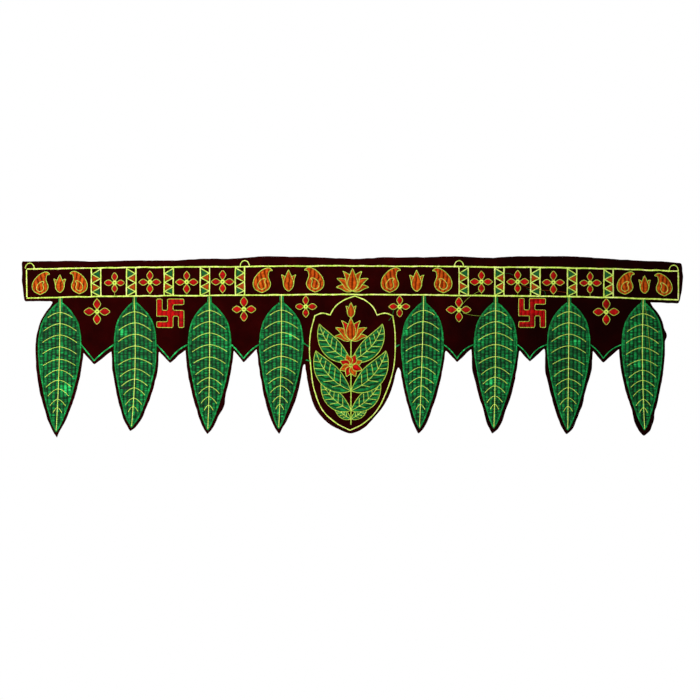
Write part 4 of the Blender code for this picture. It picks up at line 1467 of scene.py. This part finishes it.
def make_stage():
    floor_mesh = bpy.data.meshes.new("floor")
    turns = np.arange(96) * 2.0 * np.pi / 96.0
    points = [(1.5 * np.cos(turn), 1.5 * np.sin(turn), -1.2) for turn in turns]
    floor_mesh.from_pydata(points, [], [tuple(range(96))])
    floor = bpy.data.objects.new("floor", floor_mesh)
    bpy.context.scene.collection.objects.link(floor)
    material, _, shader = shader_of("pale_floor")
    shader.inputs["Base Color"].default_value = linear(226, 226, 224)
    shader.inputs["Roughness"].default_value = 0.9
    shader.inputs["Emission Color"].default_value = linear(226, 226, 224)
    shader.inputs["Emission Strength"].default_value = FLOOR_GLOW
    floor_mesh.materials.append(material)


def make_lamp(name, place, aim, size, watts):
    lamp = bpy.data.lights.new(name, "AREA")
    lamp.shape, lamp.size, lamp.energy = "DISK", size, watts
    holder = bpy.data.objects.new(name, lamp)
    holder.location = place
    direction = np.array(aim) - np.array(place)
    holder.rotation_mode = "QUATERNION"
    holder.rotation_quaternion = Vector(direction).to_track_quat("-Z", "Y")
    holder.visible_camera = False
    bpy.context.scene.collection.objects.link(holder)


def make_world():
    """White behind the object, and a dimmer white light all round it."""
    world = bpy.data.worlds.new("studio")
    world.use_nodes = True
    tree = world.node_tree
    background = tree.nodes["Background"]
    path = node(tree, "ShaderNodeLightPath")
    strength = node(tree, "ShaderNodeMapRange")
    strength.inputs["To Min"].default_value = 0.18
    strength.inputs["To Max"].default_value = 1.0
    tree.links.new(path.outputs["Is Camera Ray"], strength.inputs["Value"])
    tree.links.new(strength.outputs["Result"], background.inputs["Strength"])
    background.inputs["Color"].default_value = (1.0, 1.0, 1.0, 1.0)
    bpy.context.scene.world = world
    bpy.context.scene.view_settings.view_transform = "Standard"


def make_camera():
    """Square on, as far off as a photographer would stand, with the hanging across the frame."""
    camera = bpy.data.cameras.new("camera")
    camera.lens = camera.sensor_width * CAMERA_DISTANCE / FRAME_WIDTH
    holder = bpy.data.objects.new("camera", camera)
    holder.location = (CAMERA_X, -CAMERA_DISTANCE, CAMERA_Z)
    holder.rotation_euler = (0.5 * np.pi, 0.0, 0.0)
    bpy.context.scene.collection.objects.link(holder)
    bpy.context.scene.camera = holder


CAMERA_DISTANCE, FRAME_WIDTH = 3.0, 0.9955
CAMERA_X, CAMERA_Z = -0.0036, -0.130

make_velvet()
for leaf_number in range(len(LEAVES)):
    make_leaf(leaf_number)
    make_veins(leaf_number)
make_header_lines()
make_triangles()
make_flowers()
make_signs()
make_shield_line()
make_web_lines()
make_plant()
make_panel("centre_panel", CENTRE_PANEL)
make_panel("left_panel", LEFT_PANEL)
make_panel("right_panel", RIGHT_PANEL)
make_jump_threads()
make_stage()
make_world()
make_lamp("key", (-0.40, -1.0, 0.38), (-0.22, 0.0, -0.12), 0.5, 17.5)
make_lamp("fill", (-1.2, -2.2, 0.6), (0.0, 0.0, -0.12), 1.4, 16.0)
make_lamp("behind", (0.5, 1.8, 0.7), (0.0, 0.0, -0.12), 1.2, 26.0)
make_camera()
